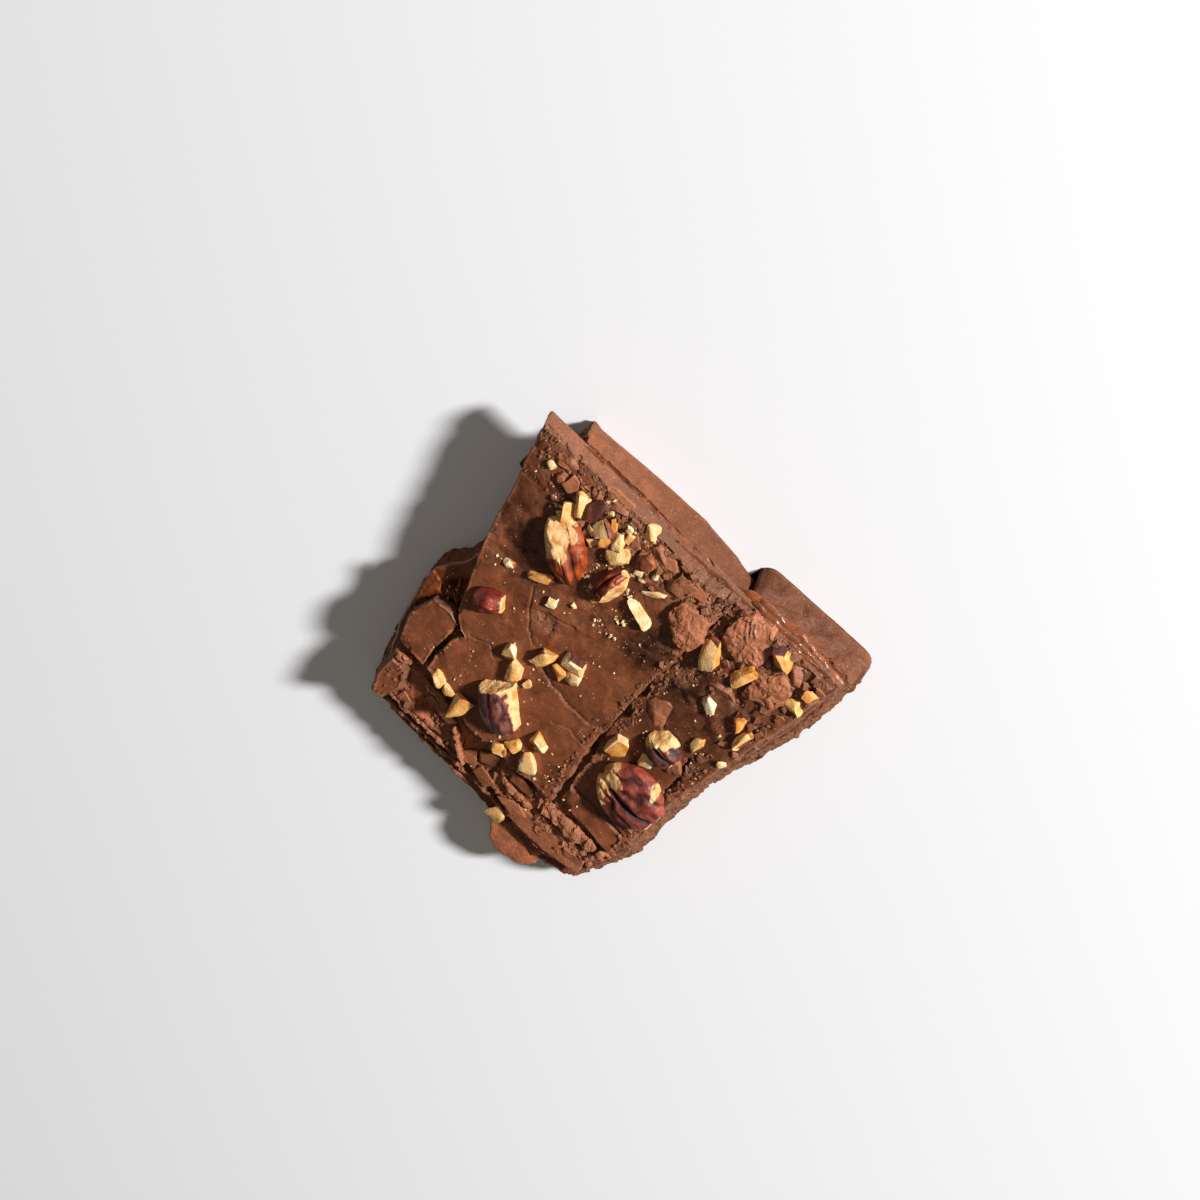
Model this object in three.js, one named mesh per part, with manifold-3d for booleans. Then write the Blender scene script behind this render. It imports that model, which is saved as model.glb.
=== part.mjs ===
// Chocolate bark: one broken slab of milk chocolate over a caramel seam, its cracked top strewn with
// chopped nuts and pecan pieces. Millimetres, +Z up. The slab lies flat with its long front edge along X.
// Plan corners run counter-clockwise and are read from a datum on the main plate; the group that holds the
// meshes moves that datum so that the part's origin is the middle of its underside.
import * as THREE from 'three';
import { mergeVertices } from 'three/addons/utils/BufferGeometryUtils.js';
import Module from 'manifold-3d';

// Faces that differ by less than this are joined into one
const smallestStep = 0.04;

// Heights of the layers, from the underside up
const baseTop = 8.5;
const caramelTop = 10;
const bedTop = 10.9;
const mainTop = 14.4;
const leftTop = 13.1;
const cornerTop = 14.0;

// The crack between the main plate and the left plate, as its place along X
const crackAt = -12.8;

// Where the middle of the underside lies in the plan
const plan = { x: 0.1, y: 14.2 };

// Broken edges: spacing of their points, length of their teeth and depth of their roughness
const edge = { step: 3.2, grain: 2.9, rough: 0.55 };

// Relief of the top: long swells and short ripples
const relief = { step: 4.4, swell: 0.32, swellLength: 11, ripple: 0.22, rippleLength: 4.3 };

// Clear space between a pecan piece and its seat in the chocolate
const seatGap = 0.35;

// How far the foot of each layer stands out from its upper edge; right of the front crack it varies along X
const foot = { frontLeft: 4.6, right: 2.4, left: 2.8, flap: 0.4, caramel: 0.3, bed: 0.5 };
const frontFoot = [[-12, 0.6], [-7, 2], [5, 3], [20, 1.7], [38, 0.3]];
const plateFoot = { front: 1.5, left: 0.9, block: 1.1, crack: 0.2 };

// The flap at the back is a thin sheet between these heights
const flap = { bottom: 5.2, top: 7.9 };

// The crack down the front of the lower layer: place, width, run and lean in degrees
const frontCrack = { at: [-14.2, -37.5], width: 0.9, run: 9, lean: 28, turn: 24 };

// Share of a nut's width that it is high, and share of that height that its middle stands over the chocolate
const nutForm = { high: 0.78, middle: 0.16 };

// Grooves along a pecan's back: depth as a share of its height, place and width as shares of its half width
const pecanGroove = { depth: 0.42, width: 0.17, sideDepth: 0.18, sideAt: 0.62, sideWidth: 0.13 };

// Depth of a pecan's belly as a share of its height, and how much its ends narrow
const pecanForm = { belly: 0.5, taper: 0.12 };

// Plan corners of each layer and plate
const baseCorners = [
  [38, -35.6], [38.4, -8], [38, 6], [39.4, 13], [43, 18.6], [43.2, 24], [41.8, 36], [38.6, 51], [36, 58.8],
  [20, 59.2], [5, 60.2], [-8, 61.4], [-24, 62], [-31, 59.6],
  [-34.6, 51], [-37.4, 43], [-36.8, 36], [-37, 27], [-38, 16], [-39.8, 7],
  [-43, -5], [-45.4, -16], [-46, -35.2],
  [-44.6, -36.8], [-30, -36.6], [-17, -36.2], [-14.4, -33.8], [-8, -33.6], [5, -34.2], [20, -35.2],
];
const flapCorners = [
  [-8.4, 58], [-7.6, 64], [-10, 67.6], [-14.5, 69], [-19, 67.8], [-22, 64.6], [-23.4, 58],
];
const caramelCorners = [
  [38.6, -34.6], [38.8, -8], [38.2, 6], [39.8, 13], [43.8, 19], [44.2, 24], [43, 31], [41.4, 38],
  [37.4, 50], [34.6, 53.4],
  [8, 53.2], [-14, 54.2], [-29, 53],
  [-33.6, 49], [-36, 42], [-36, 27], [-36.8, 16], [-38.8, 6],
  [-41.4, -6], [-43.6, -17], [-45, -34.6],
  [-30, -36.8], [-16, -36], [-12, -34], [8, -34.2],
];
const bedCorners = [
  [46.6, -34.6], [44.2, -22], [40.4, -3], [36.4, 10], [33.2, 20.4],
  [31.2, 24], [40, 23.6], [41.2, 31], [39, 40], [36.6, 54],
  [32, 54.6], [10, 53.6], [-14, 55], [-29, 54],
  [-33.8, 48], [-36.6, 41], [-36.2, 27], [-37, 16], [-39.4, 4],
  [-42, -9], [-44.2, -24], [-44.8, -34.4],
  [-30, -35.6], [-14, -34.6], [10, -33.4],
];
const mainCorners = [
  [48.2, -34.2], [45, -22], [42.5, -12], [41, -3], [37, 10], [33.6, 20.6], [30.2, 24.4], [28.2, 25],
  [29.6, 28], [30.2, 35], [29.6, 39.4],
  [20, 40.4], [13.4, 43.4], [0, 44], [-8, 43], [-14.8, 43.4],
  [-13.6, 36], [-12.6, 28], [-12, 17], [-12, 4], [-12.2, -8], [-13.2, -22], [-13.4, -33],
  [-5, -31.6], [5, -31.4], [15, -32.2], [28, -33], [40, -33.8],
];
const leftCorners = [
  [-13.9, -33.4], [-13.8, -20], [-13, -8], [-12.8, 4], [-13.2, 15], [-14.4, 24], [-15.2, 32], [-16.4, 41.6],
  [-24, 42.6], [-33.4, 43.4], [-35.6, 38], [-35.6, 26], [-36.2, 16], [-38.4, 5],
  [-40.6, -8], [-42.8, -20], [-44, -33.2], [-37, -33.8], [-29, -34.6], [-21, -34],
];
const cornerCorners = [
  [30.9, 24], [34, 22.8], [39.6, 23.4], [41.6, 31], [39.2, 39], [31, 39.8], [31.4, 34.6],
];
const blockCorners = [
  [33, 44.8], [37.4, 45], [37.8, 51], [36, 56], [33.2, 55.4], [31.2, 50],
];

// Shards left standing behind the plates: two ends, width and height
const shards = [
  { from: [-30, 47.2], to: [-14.2, 50], width: 3.2, height: 3.3 },
  { from: [-15, 49], to: [-2, 47], width: 2.6, height: 2.2 },
  { from: [6, 56.6], to: [16, 48], width: 1.3, height: 1.9 },
  { from: [-31.5, 53.4], to: [-19, 54.6], width: 2.4, height: 1.7 },
  { from: [9, 54.2], to: [31, 53.8], width: 1.5, height: 1.2 },
  { from: [-33, 39.4], to: [-17, 40.4], width: 4.2, height: 3.4 },
  { from: [2, 46.4], to: [13, 46.6], width: 2.4, height: 2.4 },
];

// Lumps and flakes of chocolate on the plates: plan place, plan size, turn in degrees and rise over the plate
const lumps = [
  { at: [-10.2, -19.8], size: [9.4, 11], turn: 20, rise: 2.6 },
  { at: [-22, -27.6], size: [14, 11], turn: -20, rise: 2.7 },
  { at: [-34, -21], size: [11, 8], turn: 35, rise: 2.0 },
  { at: [-36.5, -29.5], size: [10, 6], turn: 0, rise: 1.6 },
  { at: [-3, -27], size: [10, 6], turn: 10, rise: 1.4 },
  { at: [6, -28.6], size: [8, 5], turn: -15, rise: 1.3 },
  { at: [23, -30.6], size: [9, 4], turn: 5, rise: 1.3 },
  { at: [35, -27], size: [6, 5], turn: 40, rise: 1.4 },
  { at: [38, -31], size: [8, 3.6], turn: 0, rise: 1.1 },
  { at: [-26, -13], size: [9, 6], turn: 15, rise: 1.2 },
  { at: [-18, 4], size: [7, 9], turn: 0, rise: 0.9 },
  { at: [-30.6, 12.4], size: [5, 6], turn: 20, rise: 1.4 },
];

// Loose crumbs pressed in along the front of the plates
const crumbs = { count: 34, from: -43, to: 46, front: -32.4, depth: 6.5, small: 1.4, large: 2.8 };

// Chopped nuts: plan place, length, width and turn in degrees; each is fused to the chocolate under it
const mainNuts = [
  [-4, 39, 6.5, 5, 150], [1, 38, 4, 3.5, 60], [3.4, 41.4, 4.6, 3.6, 20], [-3, 32.6, 5, 4.2, 0],
  [17.2, 40.2, 7.6, 5.2, 95], [22, 39.6, 4, 2.6, 0], [26, 39, 4.8, 3.4, -20],
  [13.5, 21.6, 6.5, 4, 110], [17.5, 18.6, 4.5, 3.5, 120], [9, 22.2, 3, 2, 80], [10.5, 13.6, 7.5, 4.5, 75],
  [5.5, 13.6, 5, 3.5, -10], [2, 12.1, 4, 3.5, 20], [4, 8.6, 6.5, 4.5, 10],
  [18, 0.2, 3.5, 2.5, 110], [24, -2.8, 7, 2.5, 35], [32, 0.7, 3, 2.5, 60], [1, -14.3, 8.5, 3, -15],
  [13.6, -21.4, 6, 5, 40], [17.4, -20.6, 4, 3, 90], [20.4, -24, 8, 5, 80], [16.6, -25.4, 5, 4, 100],
  [29.4, -24, 6, 4, 100], [32.4, -21, 5, 3.5, 110], [24.8, -27.2, 5.5, 3, 10], [29.4, -28.6, 4, 2.5, 90],
  [11.5, -31, 5.5, 4, 60], [7.6, -24.6, 7, 4, -5], [40, -27.4, 2.6, 2.2, 0],
];
const leftNuts = [
  [-17, 18, 7, 6, 100], [-24.6, 15.8, 4, 3.2, 20], [-30.6, 2.6, 5.6, 3, 85], [-38, 2, 2.4, 2.2, 0],
  [-26, -8, 4.5, 3.5, -25], [-37.5, -7.5, 7, 3.5, 95], [-34, -10, 5.5, 3.3, 100],
  [-17.6, -19, 9.6, 4.8, 118], [-27, -20.5, 8, 4, 70], [-40.4, -23.5, 5, 4, 20], [-42, -28.5, 4.6, 3, 0],
  [-30.5, -31.5, 6.5, 5.4, 120],
];
const rimNut = [-7.5, 60.4, 5.4, 4.4, 70];

// Pecan pieces: plan place, height of the middle, sizes, turn and tilt in degrees, place of the middle groove
// as a share of the half width, and breaks, each with the way it faces and its place as a share of the reach
const pecans = [
  {
    at: [24.4, -13.7, 15.0], size: [19.6, 11, 5.0], turn: -40, tilt: 10, groove: -0.15,
    breaks: [{ faces: [1, 0, 0.1], share: 0.8 }, { faces: [0.4, 0.35, 0.85], share: 0.55 }],
  },
  {
    at: [10.5, -14.4, 14.8], size: [12, 6.8, 4.6], turn: 84, tilt: 10, groove: -0.3,
    breaks: [
      { faces: [-1, 0, 0], share: 0.9 }, { faces: [1, 0, 0], share: 0.9 },
      { faces: [0.1, 1, 0.15], share: 0.62 },
    ],
  },
  {
    at: [29.3, 11.8, 14.9], size: [10.4, 7.2, 4.6], turn: 33, tilt: -8, groove: 0.15,
    breaks: [{ faces: [-1, 0, 0], share: 0.74 }, { faces: [1, 0, 0], share: 0.76 }],
  },
  {
    at: [10.2, 31.6, 14.9], size: [17, 12.8, 5.2], turn: -45, tilt: 8, groove: 0.25,
    breaks: [
      { faces: [-1, 0, 0], share: 0.88 }, { faces: [0.9, 0.04, 0.42], share: 0.66 },
      { faces: [-0.1, -0.92, 0.38], share: 0.56 },
    ],
  },
  {
    at: [-27.8, 26.2, 14.0], size: [20.4, 17.2, 5.8], turn: -5, tilt: 0, groove: 0.22,
    breaks: [{ faces: [-1, 0, 0], share: 0.82 }, { faces: [0.92, 0, 0.36], share: 0.76 }],
  },
  {
    at: [-25.4, 9.6, 13.9], size: [11, 9.6, 4.4], turn: -14, tilt: -6, groove: 0,
    breaks: [{ faces: [-1, 0, 0], share: 0.82 }, { faces: [0.72, -0.5, 0.45], share: 0.66 }],
  },
];

const wasm = await Module();
wasm.setup();

const radians = THREE.MathUtils.degToRad;

// A repeatable number from 0 to 1 for each point of a lattice
function lattice(i, j, k) {
  const wave = Math.sin(i * 127.1 + j * 311.7 + k * 74.7) * 43758.5453;
  return wave - Math.floor(wave);
}

// Smooth noise from -1 to 1 that blends the eight lattice numbers round a point
function noise(x, y, z = 0) {
  const cell = [x, y, z].map(Math.floor);
  const blend = [x, y, z].map((value, n) => THREE.MathUtils.smoothstep(value - cell[n], 0, 1));
  let sum = 0;
  for (let corner = 0; corner < 8; corner += 1) {
    const far = [corner & 1, (corner >> 1) & 1, corner >> 2];
    const weight = far.reduce((product, on, n) => product * (on ? blend[n] : 1 - blend[n]), 1);
    sum += weight * lattice(cell[0] + far[0], cell[1] + far[1], cell[2] + far[2]);
  }
  return 2 * sum - 1;
}

// Turns a three.js geometry into a closed solid that can be joined and cut
function solidOf(geometry) {
  const bare = geometry.clone();
  bare.deleteAttribute('normal');
  bare.deleteAttribute('uv');
  const merged = mergeVertices(bare, 1e-4);
  return new wasm.Manifold(new wasm.Mesh({
    numProp: 3,
    vertProperties: new Float32Array(merged.attributes.position.array),
    triVerts: new Uint32Array(merged.index.array),
  }));
}

// Turns a solid back into a geometry, leaving out loose scraps
function geometryOf(solid) {
  const whole = solid.decompose().reduce((best, piece) => (piece.volume() > best.volume() ? piece : best));
  const mesh = whole.getMesh();
  const geometry = new THREE.BufferGeometry();
  geometry.setAttribute('position', new THREE.BufferAttribute(mesh.vertProperties, 3));
  geometry.setIndex(new THREE.BufferAttribute(mesh.triVerts, 1));
  geometry.computeVertexNormals();
  return geometry;
}

// Moves every vertex of a geometry by a rule that gets and returns a vector
function reshape(geometry, rule) {
  const position = geometry.attributes.position;
  const point = new THREE.Vector3();
  for (let n = 0; n < position.count; n += 1) {
    point.fromBufferAttribute(position, n);
    rule(point);
    position.setXYZ(n, point.x, point.y, point.z);
  }
  return geometry;
}

// Points along a closed run of corners, pushed sideways by noise as a snapped edge is
function brokenEdge(corners) {
  const points = [];
  corners.forEach(([x0, y0], n) => {
    const [x1, y1] = corners[(n + 1) % corners.length];
    const length = Math.hypot(x1 - x0, y1 - y0);
    const steps = Math.max(1, Math.round(length / edge.step));
    for (let s = 0; s < steps; s += 1) {
      const x = x0 + ((x1 - x0) * s) / steps;
      const y = y0 + ((y1 - y0) * s) / steps;
      const push = edge.rough * noise(x / edge.grain, y / edge.grain);
      points.push(new THREE.Vector2(x + (push * (y1 - y0)) / length, y - (push * (x1 - x0)) / length));
    }
  });
  return points;
}

// A layer or plate: a broken outline carried from bottom to top, its foot spread outwards by a flare
function layer(corners, bottom, top, flare) {
  const shape = new THREE.Shape(brokenEdge(corners));
  const geometry = new THREE.ExtrudeGeometry(shape, { depth: top - bottom, steps: 2, bevelEnabled: false });
  geometry.translate(0, 0, bottom);
  const middle = corners.reduce((sum, [x, y]) => sum.add(new THREE.Vector2(x, y)), new THREE.Vector2());
  middle.divideScalar(corners.length);
  return reshape(geometry, (point) => {
    const depth = (top - point.z) / (top - bottom);
    const out = new THREE.Vector2(point.x, point.y).sub(middle).normalize();
    const rough = edge.rough * noise(point.x / edge.grain, point.y / edge.grain, point.z);
    const spread = flare(point.x, point.y) * depth + 4 * depth * (1 - depth) * rough;
    point.x += out.x * spread;
    point.y += out.y * spread;
  });
}

// Swells and ripples of a poured and broken chocolate face
function swell(x, y) {
  const long = relief.swell * noise(x / relief.swellLength, y / relief.swellLength, 3);
  return long + relief.ripple * noise(x / relief.rippleLength, y / relief.rippleLength, 7);
}

// A plate with that relief on its top: a tall plate trimmed by a block whose upper face follows it
function plate(corners, top, flare) {
  const tall = layer(corners, caramelTop, top + 2, flare);
  tall.computeBoundingBox();
  const box = tall.boundingBox.clone().expandByScalar(1);
  const size = box.getSize(new THREE.Vector3());
  const cells = [Math.ceil(size.x / relief.step), Math.ceil(size.y / relief.step)];
  const block = new THREE.BoxGeometry(size.x, size.y, 2, cells[0], cells[1], 1);
  const middle = box.getCenter(new THREE.Vector3());
  block.translate(middle.x, middle.y, 0);
  reshape(block, (point) => {
    point.z = point.z > 0 ? top + swell(point.x, point.y) : caramelTop - 1;
  });
  return solidOf(tall).intersect(solidOf(block));
}

// An uneven faceted chunk of a given length, width and height; the draw tells one chunk from the next
function chunk(length, width, height, draw, detail = 0) {
  const geometry = new THREE.IcosahedronGeometry(0.5, detail);
  geometry.rotateX(0.4 + draw);
  return reshape(geometry, (point) => {
    const place = point.clone().multiplyScalar(3).addScaledVector(new THREE.Vector3(11, 5, 7), draw);
    point.multiplyScalar(1 + 0.24 * noise(place.x, place.y, place.z));
    point.multiply(new THREE.Vector3(length, width, height));
  });
}

// Height of the broken top under a point of the plan
function topAt(x, y) {
  return (x < crackAt ? leftTop : mainTop) + swell(x, y);
}

// A chopped nut set about a third into the chocolate
function nut([x, y, length, width, turn], ground) {
  const height = nutForm.high * width;
  const geometry = chunk(length, width, height, lattice(Math.round(x * 10), Math.round(y * 10), 1));
  geometry.rotateZ(radians(turn));
  geometry.translate(x, y, ground + nutForm.middle * height);
  return solidOf(geometry);
}

// A lump or flake of chocolate that rises a little over its plate
function lump({ at: [x, y], size: [length, width], turn, rise }) {
  const geometry = chunk(length, width, 2 * rise + 2, lattice(Math.round(x), Math.round(y), 2), 1);
  geometry.rotateZ(radians(turn));
  geometry.translate(x, y, topAt(x, y) - 1);
  return solidOf(geometry);
}

// A splinter of chocolate that lies along a line of the plan, on the bed behind the plates
function shard({ from, to, width, height }) {
  const length = Math.hypot(to[0] - from[0], to[1] - from[1]);
  const rows = Math.round(length / edge.step);
  const geometry = new THREE.BoxGeometry(length, width, height + 0.5, rows, 1, 1);
  reshape(geometry, (point) => {
    const end = Math.abs(point.x) / length;
    const taper = 1 - 1.1 * Math.max(0, end - 0.32);
    const upper = point.z > 0 ? 0.72 : 1;
    point.y = point.y * taper * upper + 0.5 * noise(point.x / 2.6, point.y, from[0]);
    point.z += point.z > 0 ? 0.7 * noise(point.x / 2.2, point.y, from[1]) - 0.4 * (1 - taper) * height : 0;
  });
  geometry.rotateZ(Math.atan2(to[1] - from[1], to[0] - from[0]));
  geometry.translate((from[0] + to[0]) / 2, (from[1] + to[1]) / 2, bedTop - 0.25 + height / 2);
  return solidOf(geometry);
}

// A whole half nut, grown by a clearance: a ball with tapered ends and a flatter belly
function wholePecan({ size: [length, width, height] }, clearance) {
  const half = new THREE.Vector3(length / 2, width / 2, height).addScalar(clearance);
  const belly = pecanForm.belly * height + clearance;
  const geometry = new THREE.SphereGeometry(1, 16, 10);
  geometry.rotateZ(Math.PI / 2);
  return reshape(geometry, (point) => {
    point.z *= point.z > 0 ? half.z : belly;
    point.y *= half.y * (1 - pecanForm.taper * point.x * point.x);
    point.x *= half.x;
  });
}

// A pecan piece: a half nut with a middle groove and two side grooves sunk into its back, cut off flat at its
// breaks
function pecanPiece(pecan) {
  const form = pecanGroove;
  const half = new THREE.Vector3(...pecan.size).multiply(new THREE.Vector3(0.5, 0.5, 1));
  const grooved = reshape(wholePecan(pecan, 0), (point) => {
    const across = Math.abs(point.y / half.y - pecan.groove);
    const middle = form.depth * Math.exp(-((across / form.width) ** 2));
    const sides = form.sideDepth * Math.exp(-(((across - form.sideAt) / form.sideWidth) ** 2));
    point.z *= point.z > 0 ? 1 - middle - sides : 1;
  });
  const broken = pecan.breaks.reduce((solid, { faces, share }) => {
    const inward = new THREE.Vector3(...faces).normalize().negate();
    return solid.trimByPlane(inward.toArray(), -share * inward.clone().multiply(half).length());
  }, solidOf(grooved));
  return geometryOf(broken.simplify(smallestStep));
}

// A named mesh with its own finish
function part(name, geometry, colour, roughness) {
  const material = new THREE.MeshStandardMaterial({ color: colour, roughness, metalness: 0 });
  const mesh = new THREE.Mesh(geometry, material);
  mesh.name = name;
  return mesh;
}

// A value read between the places of a short table that runs along X
function between(table, x) {
  const right = table.findIndex(([place]) => place > x);
  if (right < 1) {
    return right === 0 ? table[0][1] : table[table.length - 1][1];
  }
  const [[x0, low], [x1, high]] = table.slice(right - 1, right + 1);
  return THREE.MathUtils.mapLinear(x, x0, x1, low, high);
}

// Thick lower layer of milk chocolate: the front foot spreads most on the left of the crack and runs out to
// nothing at the right tip; a thin flap hangs from the back
function baseChocolate() {
  const frontTo = baseCorners[0][1] + 5;
  const flare = (x, y) => {
    if (y > frontTo) {
      return x > 0 ? foot.right : foot.left;
    }
    return x < crackAt - 2 ? foot.frontLeft : between(frontFoot, x);
  };
  const crack = new THREE.BoxGeometry(frontCrack.width, frontCrack.run, 2 * baseTop);
  crack.rotateX(radians(frontCrack.lean));
  crack.rotateZ(radians(frontCrack.turn));
  crack.translate(...frontCrack.at, caramelTop);
  return solidOf(layer(baseCorners, 0, baseTop, flare))
    .add(solidOf(layer(flapCorners, flap.bottom, flap.top, () => foot.flap)))
    .add(nut(rimNut, baseTop))
    .subtract(solidOf(crack));
}

// Crumbs along the front of the plates, drawn in order so that each is the same every time
function frontCrumbs() {
  const pieces = [];
  for (let n = 0; n < crumbs.count; n += 1) {
    const along = crumbs.from + ((crumbs.to - crumbs.from) * (n + 0.5)) / crumbs.count;
    const x = along + 2 * (lattice(n, 1, 5) - 0.5);
    const y = crumbs.front + crumbs.depth * lattice(n, 2, 5) ** 1.4;
    const length = THREE.MathUtils.lerp(crumbs.small, crumbs.large, lattice(n, 3, 5));
    const geometry = chunk(length, 0.75 * length, 0.8 * length, lattice(n, 4, 5));
    geometry.rotateZ(2 * Math.PI * lattice(n, 5, 5));
    geometry.translate(x, y, topAt(x, y) + 0.1 * length);
    pieces.push(solidOf(geometry));
  }
  return pieces;
}

// Broken upper layer: plates at their own heights on one thin bed, with cracks down to the bed between them,
// and every lump, shard, crumb and chopped nut fused on
function topChocolate(seats) {
  const pieces = [
    solidOf(layer(bedCorners, caramelTop, bedTop, () => foot.bed)),
    plate(mainCorners, mainTop, (x, y) => (y < -28 ? plateFoot.front : plateFoot.crack)),
    plate(leftCorners, leftTop, (x) => (x < -34 ? plateFoot.left : plateFoot.crack)),
    plate(cornerCorners, cornerTop, () => plateFoot.crack),
    solidOf(layer(blockCorners, caramelTop, leftTop, () => plateFoot.block)),
    ...shards.map(shard),
    ...lumps.map(lump),
    ...frontCrumbs(),
    ...mainNuts.map((row) => nut(row, topAt(row[0], row[1]))),
    ...leftNuts.map((row) => nut(row, topAt(row[0], row[1]))),
  ];
  const below = new THREE.BoxGeometry(200, 200, caramelTop);
  below.translate(0, 0, caramelTop / 2);
  return wasm.Manifold.union(pieces)
    .subtract(wasm.Manifold.union([solidOf(below), ...seats]))
    .simplify(smallestStep);
}

const bark = new THREE.Group();
const seats = [];
pecans.forEach((pecan, n) => {
  const mesh = part(`pecan_${n + 1}`, pecanPiece(pecan), 0x8a4630, 0.5);
  mesh.position.set(...pecan.at);
  mesh.rotation.set(radians(pecan.tilt), 0, radians(pecan.turn), 'ZYX');
  mesh.updateMatrix();
  seats.push(solidOf(wholePecan(pecan, seatGap).applyMatrix4(mesh.matrix)));
  bark.add(mesh);
});
bark.add(part('base_chocolate', geometryOf(baseChocolate()), 0x7a4a35, 0.5));
const caramel = layer(caramelCorners, baseTop, caramelTop, () => foot.caramel);
bark.add(part('caramel_layer', caramel, 0x8f5228, 0.25));
bark.add(part('top_chocolate', geometryOf(topChocolate(seats)), 0x74432f, 0.45));
bark.position.set(-plan.x, -plan.y, 0);

export default bark;
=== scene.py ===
import math

import bpy
import numpy as np
from mathutils import Matrix, Vector


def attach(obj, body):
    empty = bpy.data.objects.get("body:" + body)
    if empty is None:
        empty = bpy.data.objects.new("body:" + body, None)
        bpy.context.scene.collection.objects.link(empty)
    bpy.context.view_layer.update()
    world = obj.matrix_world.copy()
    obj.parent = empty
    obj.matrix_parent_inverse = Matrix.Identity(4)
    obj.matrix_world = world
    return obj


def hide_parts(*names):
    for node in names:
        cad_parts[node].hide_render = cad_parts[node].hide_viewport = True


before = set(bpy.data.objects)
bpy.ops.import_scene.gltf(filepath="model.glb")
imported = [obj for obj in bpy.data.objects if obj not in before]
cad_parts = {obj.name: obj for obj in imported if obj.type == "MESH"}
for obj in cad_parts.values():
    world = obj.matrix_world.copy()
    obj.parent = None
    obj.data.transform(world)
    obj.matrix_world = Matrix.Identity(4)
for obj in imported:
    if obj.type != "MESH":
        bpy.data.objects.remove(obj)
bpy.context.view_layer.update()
print("frame loaded:", len(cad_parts), "nodes")

# Plan places are in mm from a point on the main plate; the part's origin is the middle of the underside
slab = dict(
    planX=0.1, planY=14.2,
    baseTop=8.5, caramelTop=10.0, bedTop=10.9, edgeRough=0.36,
)
millimetre = 0.001
outlines = dict(
    base=[(38, -35.6), (38.4, -8), (38, 6), (39.4, 13), (43, 18.6), (43.2, 24), (41.8, 36), (38.6, 51),
          (36, 58.8), (20, 59.2), (5, 60.2), (-8, 61.4), (-24, 62), (-31, 59.6),
          (-34.6, 51), (-37.4, 43), (-36.8, 36), (-37, 27), (-38, 16), (-39.8, 7),
          (-43, -5), (-45.4, -16), (-46, -35.2),
          (-44.6, -36.8), (-30, -36.6), (-17, -36.2), (-14.4, -33.8), (-8, -33.6), (5, -34.2), (20, -35.2)],
    flap=[(-8.4, 58), (-7.6, 64), (-10, 67.6), (-14.5, 69), (-19, 67.8), (-22, 64.6), (-23.4, 58)],
    caramel=[(38.4, -34), (38.8, -8), (38.2, 6), (39.8, 13), (43.8, 19), (44.2, 24), (43, 31), (41.4, 38),
             (37.4, 50), (34.6, 53.4),
             (8, 53.2), (-14, 54.2), (-29, 53),
             (-33.6, 49), (-36, 42), (-36, 27), (-36.8, 16), (-38.8, 6),
             (-41.4, -6), (-43.6, -17), (-45, -34.6),
             (-30, -36.8), (-16, -36), (-12, -34), (-2, -34.2), (8, -33.6), (30, -33.6)],
    bed=[(46.6, -34.6), (44.2, -22), (40.4, -3), (36.4, 10), (33.2, 20.4),
         (31.2, 24), (40, 23.6), (41.2, 31), (39, 40), (36.6, 54),
         (32, 54.6), (10, 53.6), (-14, 55), (-29, 54),
         (-33.8, 48), (-36.6, 41), (-36.2, 27), (-37, 16), (-39.4, 4),
         (-42, -9), (-44.2, -24), (-44.8, -34.4),
         (-30, -35.6), (-14, -34.6), (10, -33.4)],
)
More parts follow.
